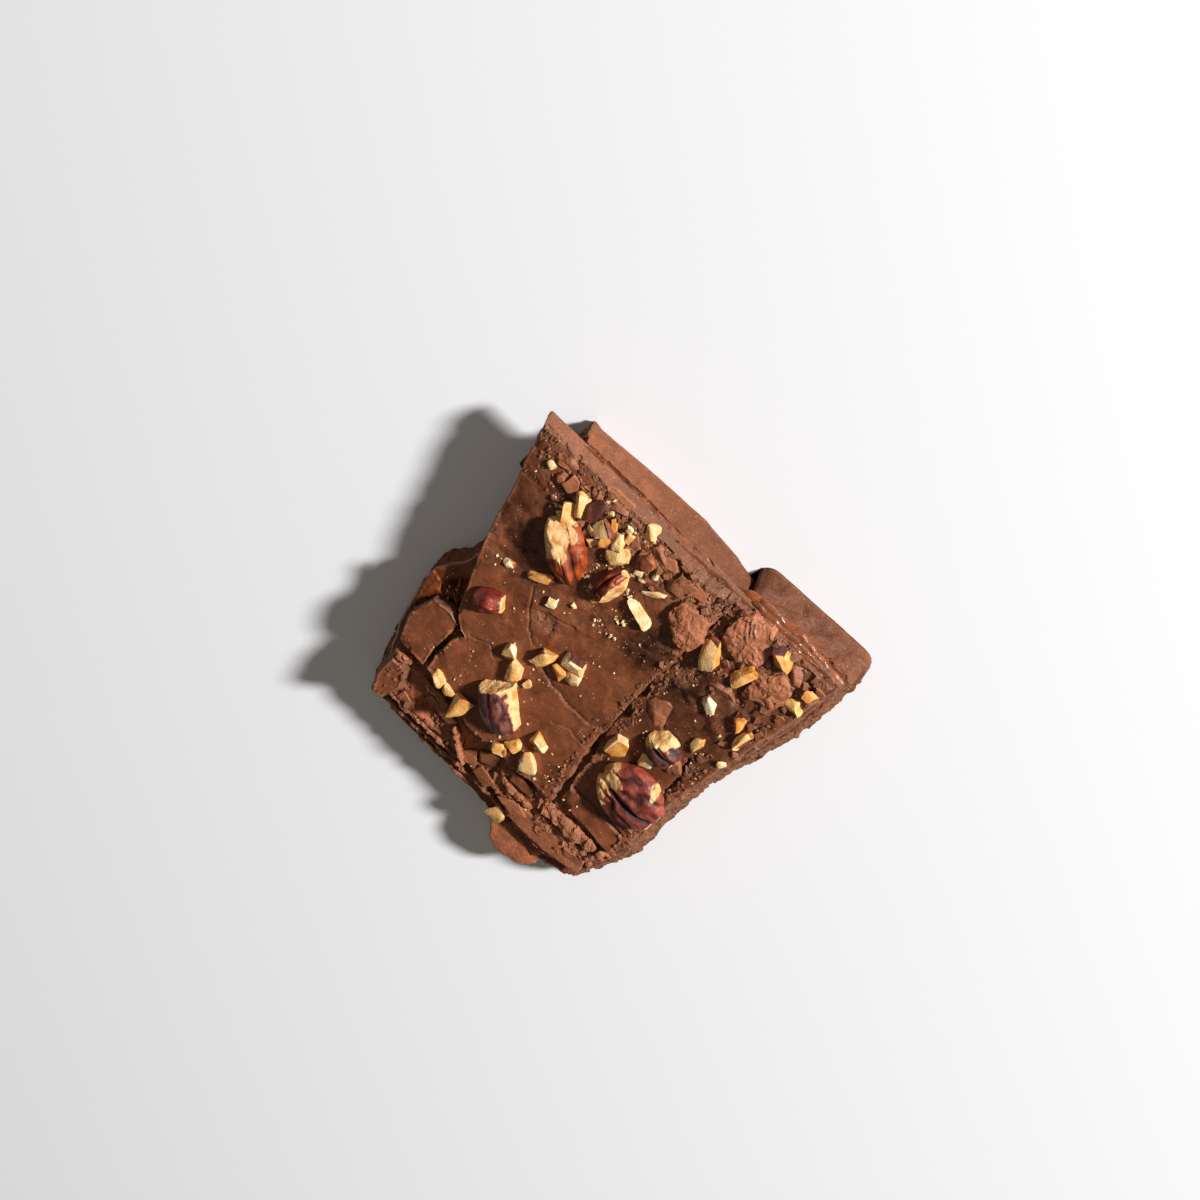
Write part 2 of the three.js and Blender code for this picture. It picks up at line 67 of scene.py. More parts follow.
# Each plate has four sides, run counter-clockwise from its front left corner, with rows crowded where it is
# dense. Its wall flares by foot, to the side it flares to, and settles to a smooth cut between the two
# places of cut. Cracks give plan run, depth, half width and the rise of the side to the left of the run;
# dips, hollows and dark places give plan place, half sizes and amount, the dark places being painted shade
# and painted shadows, and wet places, where oil has come out, plan place and half sizes
plates = dict(
    main=dict(
        name="mainPlate", top=14.4, across=240, along=330, denseRows=0.4, denseLength=0.2, leftRough=1.3,
        foot=1.5, flares="front", wallRows=14, cut=(-4, 3),
        front=[(-13.4, -33), (-5, -31.8), (5, -31.8), (15, -32.8), (28, -33.6), (40, -34.1), (47.9, -34.2)],
        right=[(47.9, -34.2), (45, -22), (42.5, -12), (41, -3), (37, 10), (33.6, 20.6), (30.2, 24.4),
               (28.2, 25), (29.6, 28), (30.2, 35), (29.6, 39.4)],
        back=[(29.6, 39.4), (20, 40.4), (13.4, 43.4), (0, 44), (-8, 43), (-14.8, 43.4)],
        left=[(-14.8, 43.4), (-13.6, 36), (-12.6, 28), (-12, 17), (-12, 4), (-12.2, -8), (-13.2, -22),
              (-13.4, -33)],
        cracks=[([(23.8, 1.2), (20.9, 7), (18, 11.1), (14.7, 13.2)], 0.36, 0.19, -0.14),
                ([(9.1, 16), (4.7, 18.5), (-1.1, 18.8), (-6.8, 19), (-11, 18.4)], 0.36, 0.2, -0.42),
                ([(20.2, 5.7), (13.7, 2.6), (9.6, 1.7)], 0.3, 0.2, 0.2),
                ([(-11, 25), (-6, 23.6), (-2, 25.4)], 0.22, 0.2, 0.12),
                ([(27, 24), (22, 22), (19, 24)], 0.22, 0.2, -0.12)],
        dips=[(33.7, -6, 5.2, 3.6, 0.5)],
        hollows=[(15.6, 6.2, 4.2, 2.4, 0.5), (-9.5, -13.5, 3.0, 1.6, 0.5), (27, -29.4, 2.6, 1.3, 1.6),
                 (10, -31, 2.6, 1.2, 1.8), (18, -27.6, 2.4, 1.4, 1.2), (1.5, -30, 3.4, 1.5, 1.6)],
        # Dark places: painted shade and painted shadows
        dark=[(33.7, -6, 5.4, 3.8, 0.66), (41, -18, 11, 17, 0.46), (28, -5, 9, 8, 0.6),
              (-6, -9.5, 7.5, 8.5, 0.84), (12, -20, 12, 6, 0.42)],
        wet=[(5, -2.5, 6.5, 4.5), (32, -9, 5, 7), (-6.5, -8, 6, 7)]),
    left=dict(
        name="leftPlate", top=13.1, across=130, along=300, denseRows=0.44, denseLength=0.3, rightRough=1.2,
        foot=0.9, flares="left",
        front=[(-44, -33.2), (-37, -33.8), (-29, -34.6), (-21, -34), (-13.9, -33.4)],
        right=[(-13.9, -33.4), (-13.6, -20), (-12.5, -8), (-12.3, -1), (-13.7, 0.8), (-13.4, 3.2),
               (-12.4, 4.6), (-12.4, 7), (-14.3, 8.6), (-14.5, 10.8), (-12.7, 12.6), (-13.2, 18), (-14.4, 24),
               (-15.2, 32), (-16.4, 41.6)],
        back=[(-16.4, 41.6), (-24, 42.6), (-33.4, 43.4)],
        left=[(-33.4, 43.4), (-35.6, 38), (-35.6, 26), (-36.2, 16), (-38.4, 5), (-40.6, -8), (-42.8, -20),
              (-44, -33.2)],
        cracks=[([(-31.6, 7.7), (-32.9, 11.2), (-33.2, 15.1), (-33.3, 18.4)], 1.6, 0.55, 0.0),
                ([(-33, 37), (-24, 36.4), (-16.5, 36.8)], 0.9, 0.35, 0.2),
                ([(-22, 6), (-17, 1), (-14, 2)], 0.5, 0.3, 0.2)],
        hollows=[(-16.8, -10, 4.4, 3.6, 0.9), (-30, -13.4, 2.0, 1.5, 0.9), (-37.6, -29.5, 4.5, 3.2, 0.9),
                 (-16.5, 31, 1.6, 8, 0.7)],
        # Dark places: painted shade and painted shadows
        dark=[(-24, 0, 17, 26, 0.52), (-18.5, -8.5, 7.5, 8.5, 0.8)],
        wet=[(-19, -8, 7, 6), (-30, -4, 6, 5)]),
    corner=dict(
        name="cornerPlate", top=14.0, across=40, along=62, rough=0.2, foot=0.2, flares="left",
        front=[(30.9, 24), (34, 22.8), (39.6, 23.4)],
        right=[(39.6, 23.4), (41.6, 31), (39.2, 39)],
        back=[(39.2, 39), (31, 39.8)],
        left=[(31, 39.8), (31.4, 34.6), (30.9, 24)]),
    block=dict(
        name="cornerBlock", top=13.1, across=24, along=42, foot=1.1, flares="all",
        front=[(33, 44.8), (37.4, 45)],
        right=[(37.4, 45), (37.8, 51), (36, 56)],
        back=[(36, 56), (33.2, 55.4)],
        left=[(33.2, 55.4), (31.2, 50), (33, 44.8)]),
)


# Repeatable number from 0 to 1 for a lattice point: the fraction of a steep sine of its three whole numbers
def lattice(i, j, k):
    wave = np.sin(i * 127.1 + j * 311.7 + k * 74.7) * 43758.5453
    return wave - np.floor(wave)


# 0 below low, 1 above high and an S-curve between; low may be the larger, which turns the curve round
def fade(value, low, high):
    share = np.clip((value - low) / (high - low), 0, 1)
    return share * share * (3 - 2 * share)


# Noise from -1 to 1: the eight lattice numbers round a point, weighted by S-curves of its place in the cell
def noise(x, y, z=0.0):
    x, y, z = np.broadcast_arrays(np.asarray(x, float), y, z)
    low = [np.floor(v) for v in (x, y, z)]
    share = [fade(v - f, 0, 1) for v, f in zip((x, y, z), low)]
    total = np.zeros(x.shape)
    for corner in range(8):
        far = (corner & 1, corner >> 1 & 1, corner >> 2)
        weight = np.prod([s if on else 1 - s for s, on in zip(share, far)], axis=0)
        total += weight * lattice(low[0] + far[0], low[1] + far[1], low[2] + far[2])
    return 2 * total - 1


# Sum of noises, each half as large and about half as strong as the one before
def crumble(x, y, z, size, octaves=4):
    return sum(0.55 ** n * noise(x * 2.03 ** n / size, y * 2.03 ** n / size, z * 2.03 ** n / size + 7 * n)
               for n in range(octaves))


# Sum of noises, each with its strength, its lengths across and along, and its draw
def waves(x, y, rows):
    return sum(strength * noise(x / across, y / along, draw) for strength, across, along, draw in rows)


# Bell curve: 1 in the middle, falling to 0 past its half width
def bell(away, wide):
    return np.exp(-(away / wide) ** 2)


# Oval spot: 1 inside, falling to 0 past its half sizes, the more steeply the higher the power
def oval(x, y, spot, power=4):
    middleX, middleY, halfX, halfY = spot
    return np.exp(-np.hypot((x - middleX) / halfX, (y - middleY) / halfY) ** power)


# Broken-chunk relief: each point takes the height of its nearest scattered seed, tilted by the seed's own
# slope; the second value is the gap between the nearest and next seed, small along the chunk edges
def chunkRelief(x, y, size, draw, slope=0.9):
    u, v = x / size, y / size
    nearest = np.full(u.shape, 9.0)
    second = np.full(u.shape, 9.0)
    height = np.zeros(u.shape)
    for di in (-1, 0, 1):
        for dj in (-1, 0, 1):
            i, j = np.floor(u) + di, np.floor(v) + dj
            du, dv = u - i - lattice(i, j, draw), v - j - lattice(i, j, draw + 1)
            reach = np.hypot(du, dv)
            tilt = du * (lattice(i, j, draw + 3) - 0.5) + dv * (lattice(i, j, draw + 4) - 0.5)
            own = 2 * lattice(i, j, draw + 2) - 1 + 2 * slope * tilt
            closer = reach < nearest
            second = np.where(closer, nearest, np.minimum(second, reach))
            height = np.where(closer, own, height)
            nearest = np.where(closer, reach, nearest)
    return height, second - nearest


# Distance from points to the nearest stretch of an open run, and their side of it, 1 for left of the run
def runDistance(x, y, run):
    best = np.full(np.shape(x), 1e9)
    side = np.ones(np.shape(x))
    for (x0, y0), (x1, y1) in zip(run[:-1], run[1:]):
        dx, dy = x1 - x0, y1 - y0
        t = np.clip(((x - x0) * dx + (y - y0) * dy) / (dx * dx + dy * dy), 0, 1)
        away = np.hypot(x - x0 - t * dx, y - y0 - t * dy)
        side = np.where(away < best, np.sign(dx * (y - y0) - dy * (x - x0)), side)
        best = np.minimum(best, away)
    return best, side


# Even-odd test: a point is inside if a ray from it crosses the outline an odd number of times
def inside(x, y, corners):
    odd = np.zeros(np.shape(x), bool)
    for (x0, y0), (x1, y1) in zip(corners, corners[1:] + corners[:1]):
        if y0 != y1:
            odd ^= ((y0 > y) != (y1 > y)) & (x < (x1 - x0) * (y - y0) / (y1 - y0) + x0)
    return odd


# Angular noise from -1 to 1 along a line: straight stretches between a random offset at each whole number
def jagged(s, draw):
    low = np.floor(s)
    share = s - low
    return 2 * (lattice(low, draw, 3) * (1 - share) + lattice(low + 1, draw, 3) * share) - 1


# Teeth of a broken edge as length and strength; way is how far to each side the run's direction is taken,
# and the teeth die away over calm at the ends of an open run
edgeTeeth = dict(rows=[(4.6, 1.0), (1.7, 0.45), (0.6, 0.16)], way=0.8, calm=1.5)


# A run of corners walked to given shares of its length and pushed sideways by angular noise, long teeth first
def brokenRun(corners, shares, closed=False, rough=slab["edgeRough"]):
    points = np.array(list(corners) + ([corners[0]] if closed else []), float)
    walked = np.concatenate([[0], np.cumsum(np.hypot(*np.diff(points, axis=0).T))])
    s = shares * walked[-1]
    ahead, behind = s + edgeTeeth["way"], s - edgeTeeth["way"]
    if closed:
        ahead, behind = ahead % walked[-1], behind % walked[-1]
    here, front, rear = [np.stack([np.interp(v, walked, points[:, n]) for n in (0, 1)], 1)
                         for v in (s, ahead, behind)]
    way = (front - rear) / np.maximum(np.linalg.norm(front - rear, axis=1, keepdims=True), 1e-6)
    draw = points[0, 0] + 2 * points[0, 1]
    teeth = sum(strength * jagged(s / length, draw + n)
                for n, (length, strength) in enumerate(edgeTeeth["rows"]))
    ends = np.clip(np.minimum(s, walked[-1] - s) / edgeTeeth["calm"], 0, 1)
    out = np.stack([way[:, 1], -way[:, 0]], 1)
    return here + (rough * teeth * ends)[:, None] * out, out


# A closed outline cut into even steps and broken: its points, the way out of it at each, and their x and y
def brokenOutline(name, points, rough):
    outline, out = brokenRun(outlines[name], np.linspace(0, 1, points, endpoint=False), True, rough)
    return outline, out, *outline.T


# Quads of a grid of rows by columns; ringed joins the last column to the first
def gridQuads(rows, columns, ringed=False):
    r, c = np.meshgrid(np.arange(rows - 1), np.arange(columns if ringed else columns - 1), indexing="ij")
    nextC = (c + 1) % columns
    here, above = r * columns, (r + 1) * columns
    return np.stack([here + c, here + nextC, above + nextC, above + c], -1).reshape(-1, 4)


# Two fans that close a tube of rings; the points at its first and last end follow those of the rings
def endFans(rings, around):
    count = rings * around
    first, last = np.arange(around), count - around + np.arange(around)
    low = np.stack([np.full(around, count), np.roll(first, -1), first], -1)
    high = np.stack([np.full(around, count + 1), last, np.roll(last, -1)], -1)
    return np.concatenate([low, high])


# Puts whole arrays into a mesh: places in plan millimetres, four-sided and three-sided faces, number layers;
# faces more broken than crisp are left flat, so that fractures keep their facets, and edges sharper than the
# corner angle are not smoothed over
def makePiece(name, places, quads, triangles, material, layers=None, crisp=0.62, corner=None):
    mesh = bpy.data.meshes.new(name)
    metres = (places - np.array([slab["planX"], slab["planY"], 0])) * millimetre
    mesh.vertices.add(len(metres))
    mesh.vertices.foreach_set("co", metres.astype(np.float32).ravel())
    corners = np.concatenate([quads.ravel(), triangles.ravel()]).astype(np.int32)
    starts = np.concatenate([np.arange(len(quads)) * 4, len(quads) * 4 + np.arange(len(triangles)) * 3])
    mesh.loops.add(len(corners))
    mesh.loops.foreach_set("vertex_index", corners)
    mesh.polygons.add(len(starts))
    mesh.polygons.foreach_set("loop_start", starts.astype(np.int32))
    layers = {key: np.asarray(values, np.float32).ravel() for key, values in (layers or {}).items()}
    torn = layers.get("broken", np.zeros(len(places)))
    smooth = np.concatenate([torn[quads].mean(1), torn[triangles].mean(1)]) < crisp
    mesh.polygons.foreach_set("use_smooth", smooth)
    mesh.update(calc_edges=True)
    for key, values in layers.items():
        mesh.attributes.new(key, "FLOAT", "POINT").data.foreach_set("value", values)
    mesh.validate()
    if corner is not None:
        mesh.set_sharp_from_angle(angle=math.radians(corner))
    mesh.materials.append(material)
    piece = bpy.data.objects.new(name, mesh)
    bpy.context.scene.collection.objects.link(piece)
    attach(piece, "root")
    return piece


# sRGB hex colour to linear red, green, blue and alpha
def linear(hexColour):
    value = np.array([int(hexColour[n:n + 2], 16) for n in (1, 3, 5)]) / 255
    return (*np.where(value <= 0.04045, value / 12.92, ((value + 0.055) / 1.055) ** 2.4), 1.0)


# Adds a node and gives back one of its outputs: settings become its properties, inputs are links or
# numbers, in the order of the sockets or by socket, and ramp sets a colour ramp
def addNode(tree, kind, inputs=(), out=0, ramp=(), **settings):
    made = tree.nodes.new("ShaderNode" + kind)
    for name, value in settings.items():
        setattr(made, name, value)
    for socket, value in inputs.items() if isinstance(inputs, dict) else enumerate(inputs):
        if isinstance(value, bpy.types.NodeSocket):
            tree.links.new(value, made.inputs[socket])
        else:
            made.inputs[socket].default_value = value
    for n, (place, colour) in enumerate(ramp):
        stop = made.color_ramp.elements[n] if n < 2 else made.color_ramp.elements.new(place)
        stop.position, stop.color = place, linear(colour)
    return made.outputs[out]


# A material with a principled shader, its fixed sockets set, and object coordinates ready to use
def startMaterial(name, **sockets):
    material = bpy.data.materials.new(name)
    material.use_nodes = True
    tree = material.node_tree
    shader = tree.nodes["Principled BSDF"]
    for socket, value in sockets.items():
        shader.inputs[socket.replace("_", " ")].default_value = value
    return material, tree, shader, addNode(tree, "TexCoord", out="Object")


# Links what was worked out to the sockets of the shader
def feedShader(tree, shader, **sources):
    for socket, source in sources.items():
        tree.links.new(source, shader.inputs[socket.replace("_", " ")])


# Size of a pattern in millimetres to a texture scale on coordinates in metres
def perMetre(millimetres):
    return 1000.0 / millimetres


# Milk chocolate, poured and then snapped: satin brown where it set, matt and paler where it broke, with a
# dust of pale specks; a cut face shines less. Sizes are in mm, the depth of the bump in metres
milk = dict(satin="#7a442a", broken="#704730", dust="#d2b892", clouds=5, grain=0.5, specks=1.0, bump=0.0003,
            poured=0.44, cut=0.2)


def milkChocolate(name, shine):
    material, tree, shader, place = startMaterial(name, IOR=1.46, Specular_IOR_Level=shine)
    torn, paintedShadingAndTone, wet = [addNode(tree, "Attribute", out="Fac", attribute_name=layer)
                      for layer in ("broken", "paintedShadingAndTone", "wet")]
    cloud = addNode(tree, "TexNoise", {"Vector": place, "Scale": perMetre(milk["clouds"]), "Detail": 7.0,
                                       "Roughness": 0.66, "Distortion": 0.7})
    grain = addNode(tree, "TexNoise", {"Vector": place, "Scale": perMetre(milk["grain"]), "Detail": 4.0})
    cells = addNode(tree, "TexVoronoi", {"Vector": place, "Scale": perMetre(milk["specks"])})
    both = addNode(tree, "Mix", {0: torn, 6: linear(milk["satin"]), 7: linear(milk["broken"])}, 2,
                   data_type="RGBA")
    lit = addNode(tree, "MapRange", [paintedShadingAndTone, -1.0, 1.0, 1.9, 0.1])  # painted light and shade of the piece, and on crumbs and lumps some paleness of their own
    swing = addNode(tree, "MapRange", [cloud, 0.34, 0.66, -0.5, 0.5])
    rise = addNode(tree, "MapRange", [torn, 0.0, 0.12, 0.5, 0.95])  # mottling is strongest where barely worn
    uneven = addNode(tree, "MapRange", [torn, 0.12, 0.6, rise, 0.32])
    patch = addNode(tree, "Math", [swing, uneven, 0.97], operation="MULTIPLY_ADD")
    shade = addNode(tree, "Math", [patch, lit], operation="MULTIPLY")
    fine = addNode(tree, "MapRange", [grain, 0.3, 0.72, -0.5, 0.5])
    grit = addNode(tree, "MapRange", [torn, 0.0, 0.3, 0.2, 0.52])  # grain shows most where it broke
    speck = addNode(tree, "Math", [fine, grit, 1.0], operation="MULTIPLY_ADD")
    tone = addNode(tree, "Math", [shade, speck], operation="MULTIPLY")
    brown = addNode(tree, "VectorMath", {0: both, 3: tone}, operation="SCALE")
    strewn = addNode(tree, "MapRange", [cloud, 0.44, 0.6, 0.05, 0.8])
    dot = addNode(tree, "MapRange", [cells, 0.07, 0.14, strewn, 0.0])
    colour = addNode(tree, "Mix", {0: dot, 6: brown, 7: linear(milk["dust"])}, 2, data_type="RGBA")
    sheen = addNode(tree, "MapRange", [torn, 0.0, 1.0, -0.1, 0.3])
    gloss = addNode(tree, "Math", [cloud, 0.9, sheen], operation="MULTIPLY_ADD")
    dullness = addNode(tree, "Math", [wet, -0.3, gloss], operation="MULTIPLY_ADD")
    strength = addNode(tree, "MapRange", [torn, 0.0, 1.0, 0.12, 0.7])
    bump = addNode(tree, "Bump", {"Height": grain, "Strength": strength, "Distance": milk["bump"]})
    feedShader(tree, shader, Base_Color=colour, Roughness=dullness, Normal=bump)
    return material


# Soft caramel: deep amber, wet gloss, slightly cloudy
soft = dict(dark="#54220e", light="#904c20", clouds=3.2, bump=0.0008)


def softCaramel():
    material, tree, shader, place = startMaterial("softCaramel", IOR=1.48, Roughness=0.38, Coat_Weight=0.1,
                                                  Coat_Roughness=0.3)
    cloud = addNode(tree, "TexNoise", {"Vector": place, "Scale": perMetre(soft["clouds"]), "Detail": 4.0})
    colour = addNode(tree, "ValToRGB", [cloud], ramp=[(0.32, soft["dark"]), (0.7, soft["light"])])
    bump = addNode(tree, "Bump", {"Height": cloud, "Strength": 0.6, "Distance": soft["bump"]})
    feedShader(tree, shader, Base_Color=colour, Normal=bump)
    return material


# Chopped nut flesh: dry cream to toasted gold and brown skin, with finely grained cut faces
flesh = dict(clouds=2.2, grain=0.5, bump=0.0003,
             toast=[(0.0, "#46201a"), (0.28, "#7c3f22"), (0.42, "#bd7630"), (0.58, "#d4964c"),
                    (0.76, "#e2b272"), (1.0, "#ecd2aa")])


def nutFlesh():
    material, tree, shader, place = startMaterial("choppedNut", IOR=1.47, Roughness=0.5,
                                                  Subsurface_Weight=0.12, Subsurface_Scale=0.001)
    tone = addNode(tree, "Attribute", out="Fac", attribute_name="tone")
    cloud = addNode(tree, "TexNoise", {"Vector": place, "Scale": perMetre(flesh["clouds"]), "Detail": 4.0})
    grain = addNode(tree, "TexNoise", {"Vector": place, "Scale": perMetre(flesh["grain"]), "Detail": 3.0})
    spread = addNode(tree, "MapRange", [cloud, 0.3, 0.7, -0.16, 0.16])
    toast = addNode(tree, "Math", [tone, spread], operation="ADD")
    colour = addNode(tree, "ValToRGB", [toast], ramp=flesh["toast"])
    bump = addNode(tree, "Bump", {"Height": grain, "Strength": 0.6, "Distance": flesh["bump"]})
    feedShader(tree, shader, Base_Color=colour, Normal=bump)
    return material


# Pecan: thin satin skin, paler on the raised wrinkles, darker and dull in the groove and creases, where the
# skin's own dark vein is deepened by painted shade, cream crumbly flesh where it snapped
hull = dict(clouds=2.6, grain=0.6, bump=0.0003, meat=[(0.34, "#c2813f"), (0.6, "#e6bb82")])


def pecanSkin(name, worn, skin, vein):
    material, tree, shader, place = startMaterial(name, IOR=1.47, Specular_IOR_Level=0.38,
                                                  Subsurface_Weight=0.1, Subsurface_Scale=0.001)
    bare, deep = [addNode(tree, "Attribute", out="Fac", attribute_name=layer)
                  for layer in ("flesh", "groove")]
    cloud = addNode(tree, "TexNoise", {"Vector": place, "Scale": perMetre(hull["clouds"]), "Detail": 6.0})
    grain = addNode(tree, "TexNoise", {"Vector": place, "Scale": perMetre(hull["grain"]), "Detail": 4.0})
    mottle = addNode(tree, "MapRange", [cloud, 0.3, 0.7, -0.34, 0.34])
    shade = addNode(tree, "Math", [deep, mottle], operation="ADD")
    skinned = addNode(tree, "ValToRGB", [shade], ramp=[(0.0, worn), (0.8, vein), (0.32, skin)])
    meat = addNode(tree, "ValToRGB", [cloud], ramp=hull["meat"])
    colour = addNode(tree, "Mix", {0: bare, 6: skinned, 7: meat}, 2, data_type="RGBA")
    dull = addNode(tree, "Math", [bare, deep], operation="MAXIMUM")
    gloss = addNode(tree, "MapRange", [dull, 0.0, 0.8, 0.36, 0.66])
    bump = addNode(tree, "Bump", {"Height": grain, "Strength": 0.6, "Distance": hull["bump"]})
    feedShader(tree, shader, Base_Color=colour, Roughness=gloss, Normal=bump)
    return material


chocolate = milkChocolate("milkChocolate", milk["poured"])
cutChocolate = milkChocolate("cutMilkChocolate", milk["cut"])
caramel = softCaramel()
nutMeat = nutFlesh()
print("materials made")


# Noises of the tops, as rows of strength, length across, length along and draw; the swell is shared with
# the solids
topWaves = dict(
    swell=[(0.32, 11.0, 11.0, 3), (0.22, 4.3, 4.3, 7)], humps=[(0.22, 6.5, 6.5, 33)],
    warpX=[(0.5, 2.2, 2.2, 5)], warpY=[(0.5, 2.2, 2.2, 6)],
    frontEdge=[(1, 4, 4, 2)], wornEdge=[(5, 9, 9, 8)],
    dents=[(0.075, 1.5, 1.5, 53), (0.03, 0.6, 0.6, 54)],
    paintedCrackHighlight=[(0.8, 1.6, 1.6, 46)], paintedLipHighlight=[(0.6, 2, 2, 45)], paintedShadeWander=[(0.4, 5, 5, 44)])
# Patches of the tops, where such a sum of noises rises from low to high
topPatches = dict(
    grainy=(0.0, 0.4, [(1, 3.4, 2.4, 19)]), scuffs=(0.45, 0.85, [(1, 3.6, 1.9, 13), (0.5, 1.3, 0.8, 14)]),
    pits=(0.25, 0.5, [(1, 2.4, 1.8, 15)]), frontChips=(0.0, 0.7, [(1, 3.0, 5, 18)]),
    dimples=(0.3, 0.8, [(1, 2.6, 2.6, 52)]), dragged=(-0.2, 0.4, [(1, 8, 8, 62)]),
    rimChips=(0.25, 0.55, [(1, 2.6, 2.6, 17)]), blots=(0.05, 0.4, [(1, 1.7, 1.4, 72), (0.4, 0.7, 0.7, 73)]))
# Reliefs of the tops. The front crumbles past start on the left and past tipStart towards the right tip,
# where each relief loses its share of calm; torn is how broken each kind of place is, and the table after it
# how strongly each kind of place is painted: painted shade in cracks, painted light on the crumbled front,
# in hollows and as highlights along crack edges and the lip, darker and paler along drag marks, and darker
# wet places, the oil's own colour
topForm = dict(
    tip=(8, 20), start=-21.5, tipStart=-30, depth=5, tipDepth=2.6, wander=2.2, tipWander=1.4,
    calm=dict(chunks=0.6, grit=0.75, pits=0.7, chips=0.8),
    chunkSize=4.2, chunkSlope=1.4, smallSize=1.6, smallSlope=1.3, gritSize=0.6,
    chunks=0.36, small=0.26, grit=0.22, pits=0.45, chips=1.1, chipReach=1.7,
    worn=(14, -12), wornChunks=0.08, grain=0.03, grainSize=1.6, scuffs=0.09, scuffEven=0.3, scuffWorn=0.7,
    pimpleSize=2.3, pimples=0.12, pimpleAt=(0.75, 0.95), pimpleGap=(0.15, 0.6),
    dragWay=(0.8, 0.6), dragLong=6, dragWide=0.9, drag=0.03, dimples=0.16, dentsEven=0.35, dentsWorn=0.65,
    dipPower=6, hollowChunks=0.25, hollowSmall=0.3, hollowGrit=0.12,
    jogs=[(0.42, 2.1, 21), (0.14, 0.8, 23)], riseOver=0.12, riseReach=3.5, crackTorn=1.3, crackDark=0.7,
    paintedCrackHighlightAt=0.34, paintedCrackHighlightWide=0.16, paintedCrackHighlight=0.5,
    lip=0.22, lipLeast=0.25, lipMore=0.75, lipFrom=(2, 24), lipAt=0.3, paintedLipHighlight=0.6,
    rimDrop=0.15, rimDropReach=0.1, rimChips=0.55, rimChipSmall=0.5, rimGrit=0.06, rimChipReach=0.8,
    rimTornReach=0.35, tornPale=0.7,
    torn=dict(front=0.8, scuffs=0.6, worn=0.12, hollows=0.75, cracks=0.7, rim=0.9),
    paintedShadingAndOil=dict(drag=0.1, front=0.32, hollows=0.4, cracks=0.5, paintedCrackHighlight=0.4, lip=0.45, wet=0.36))
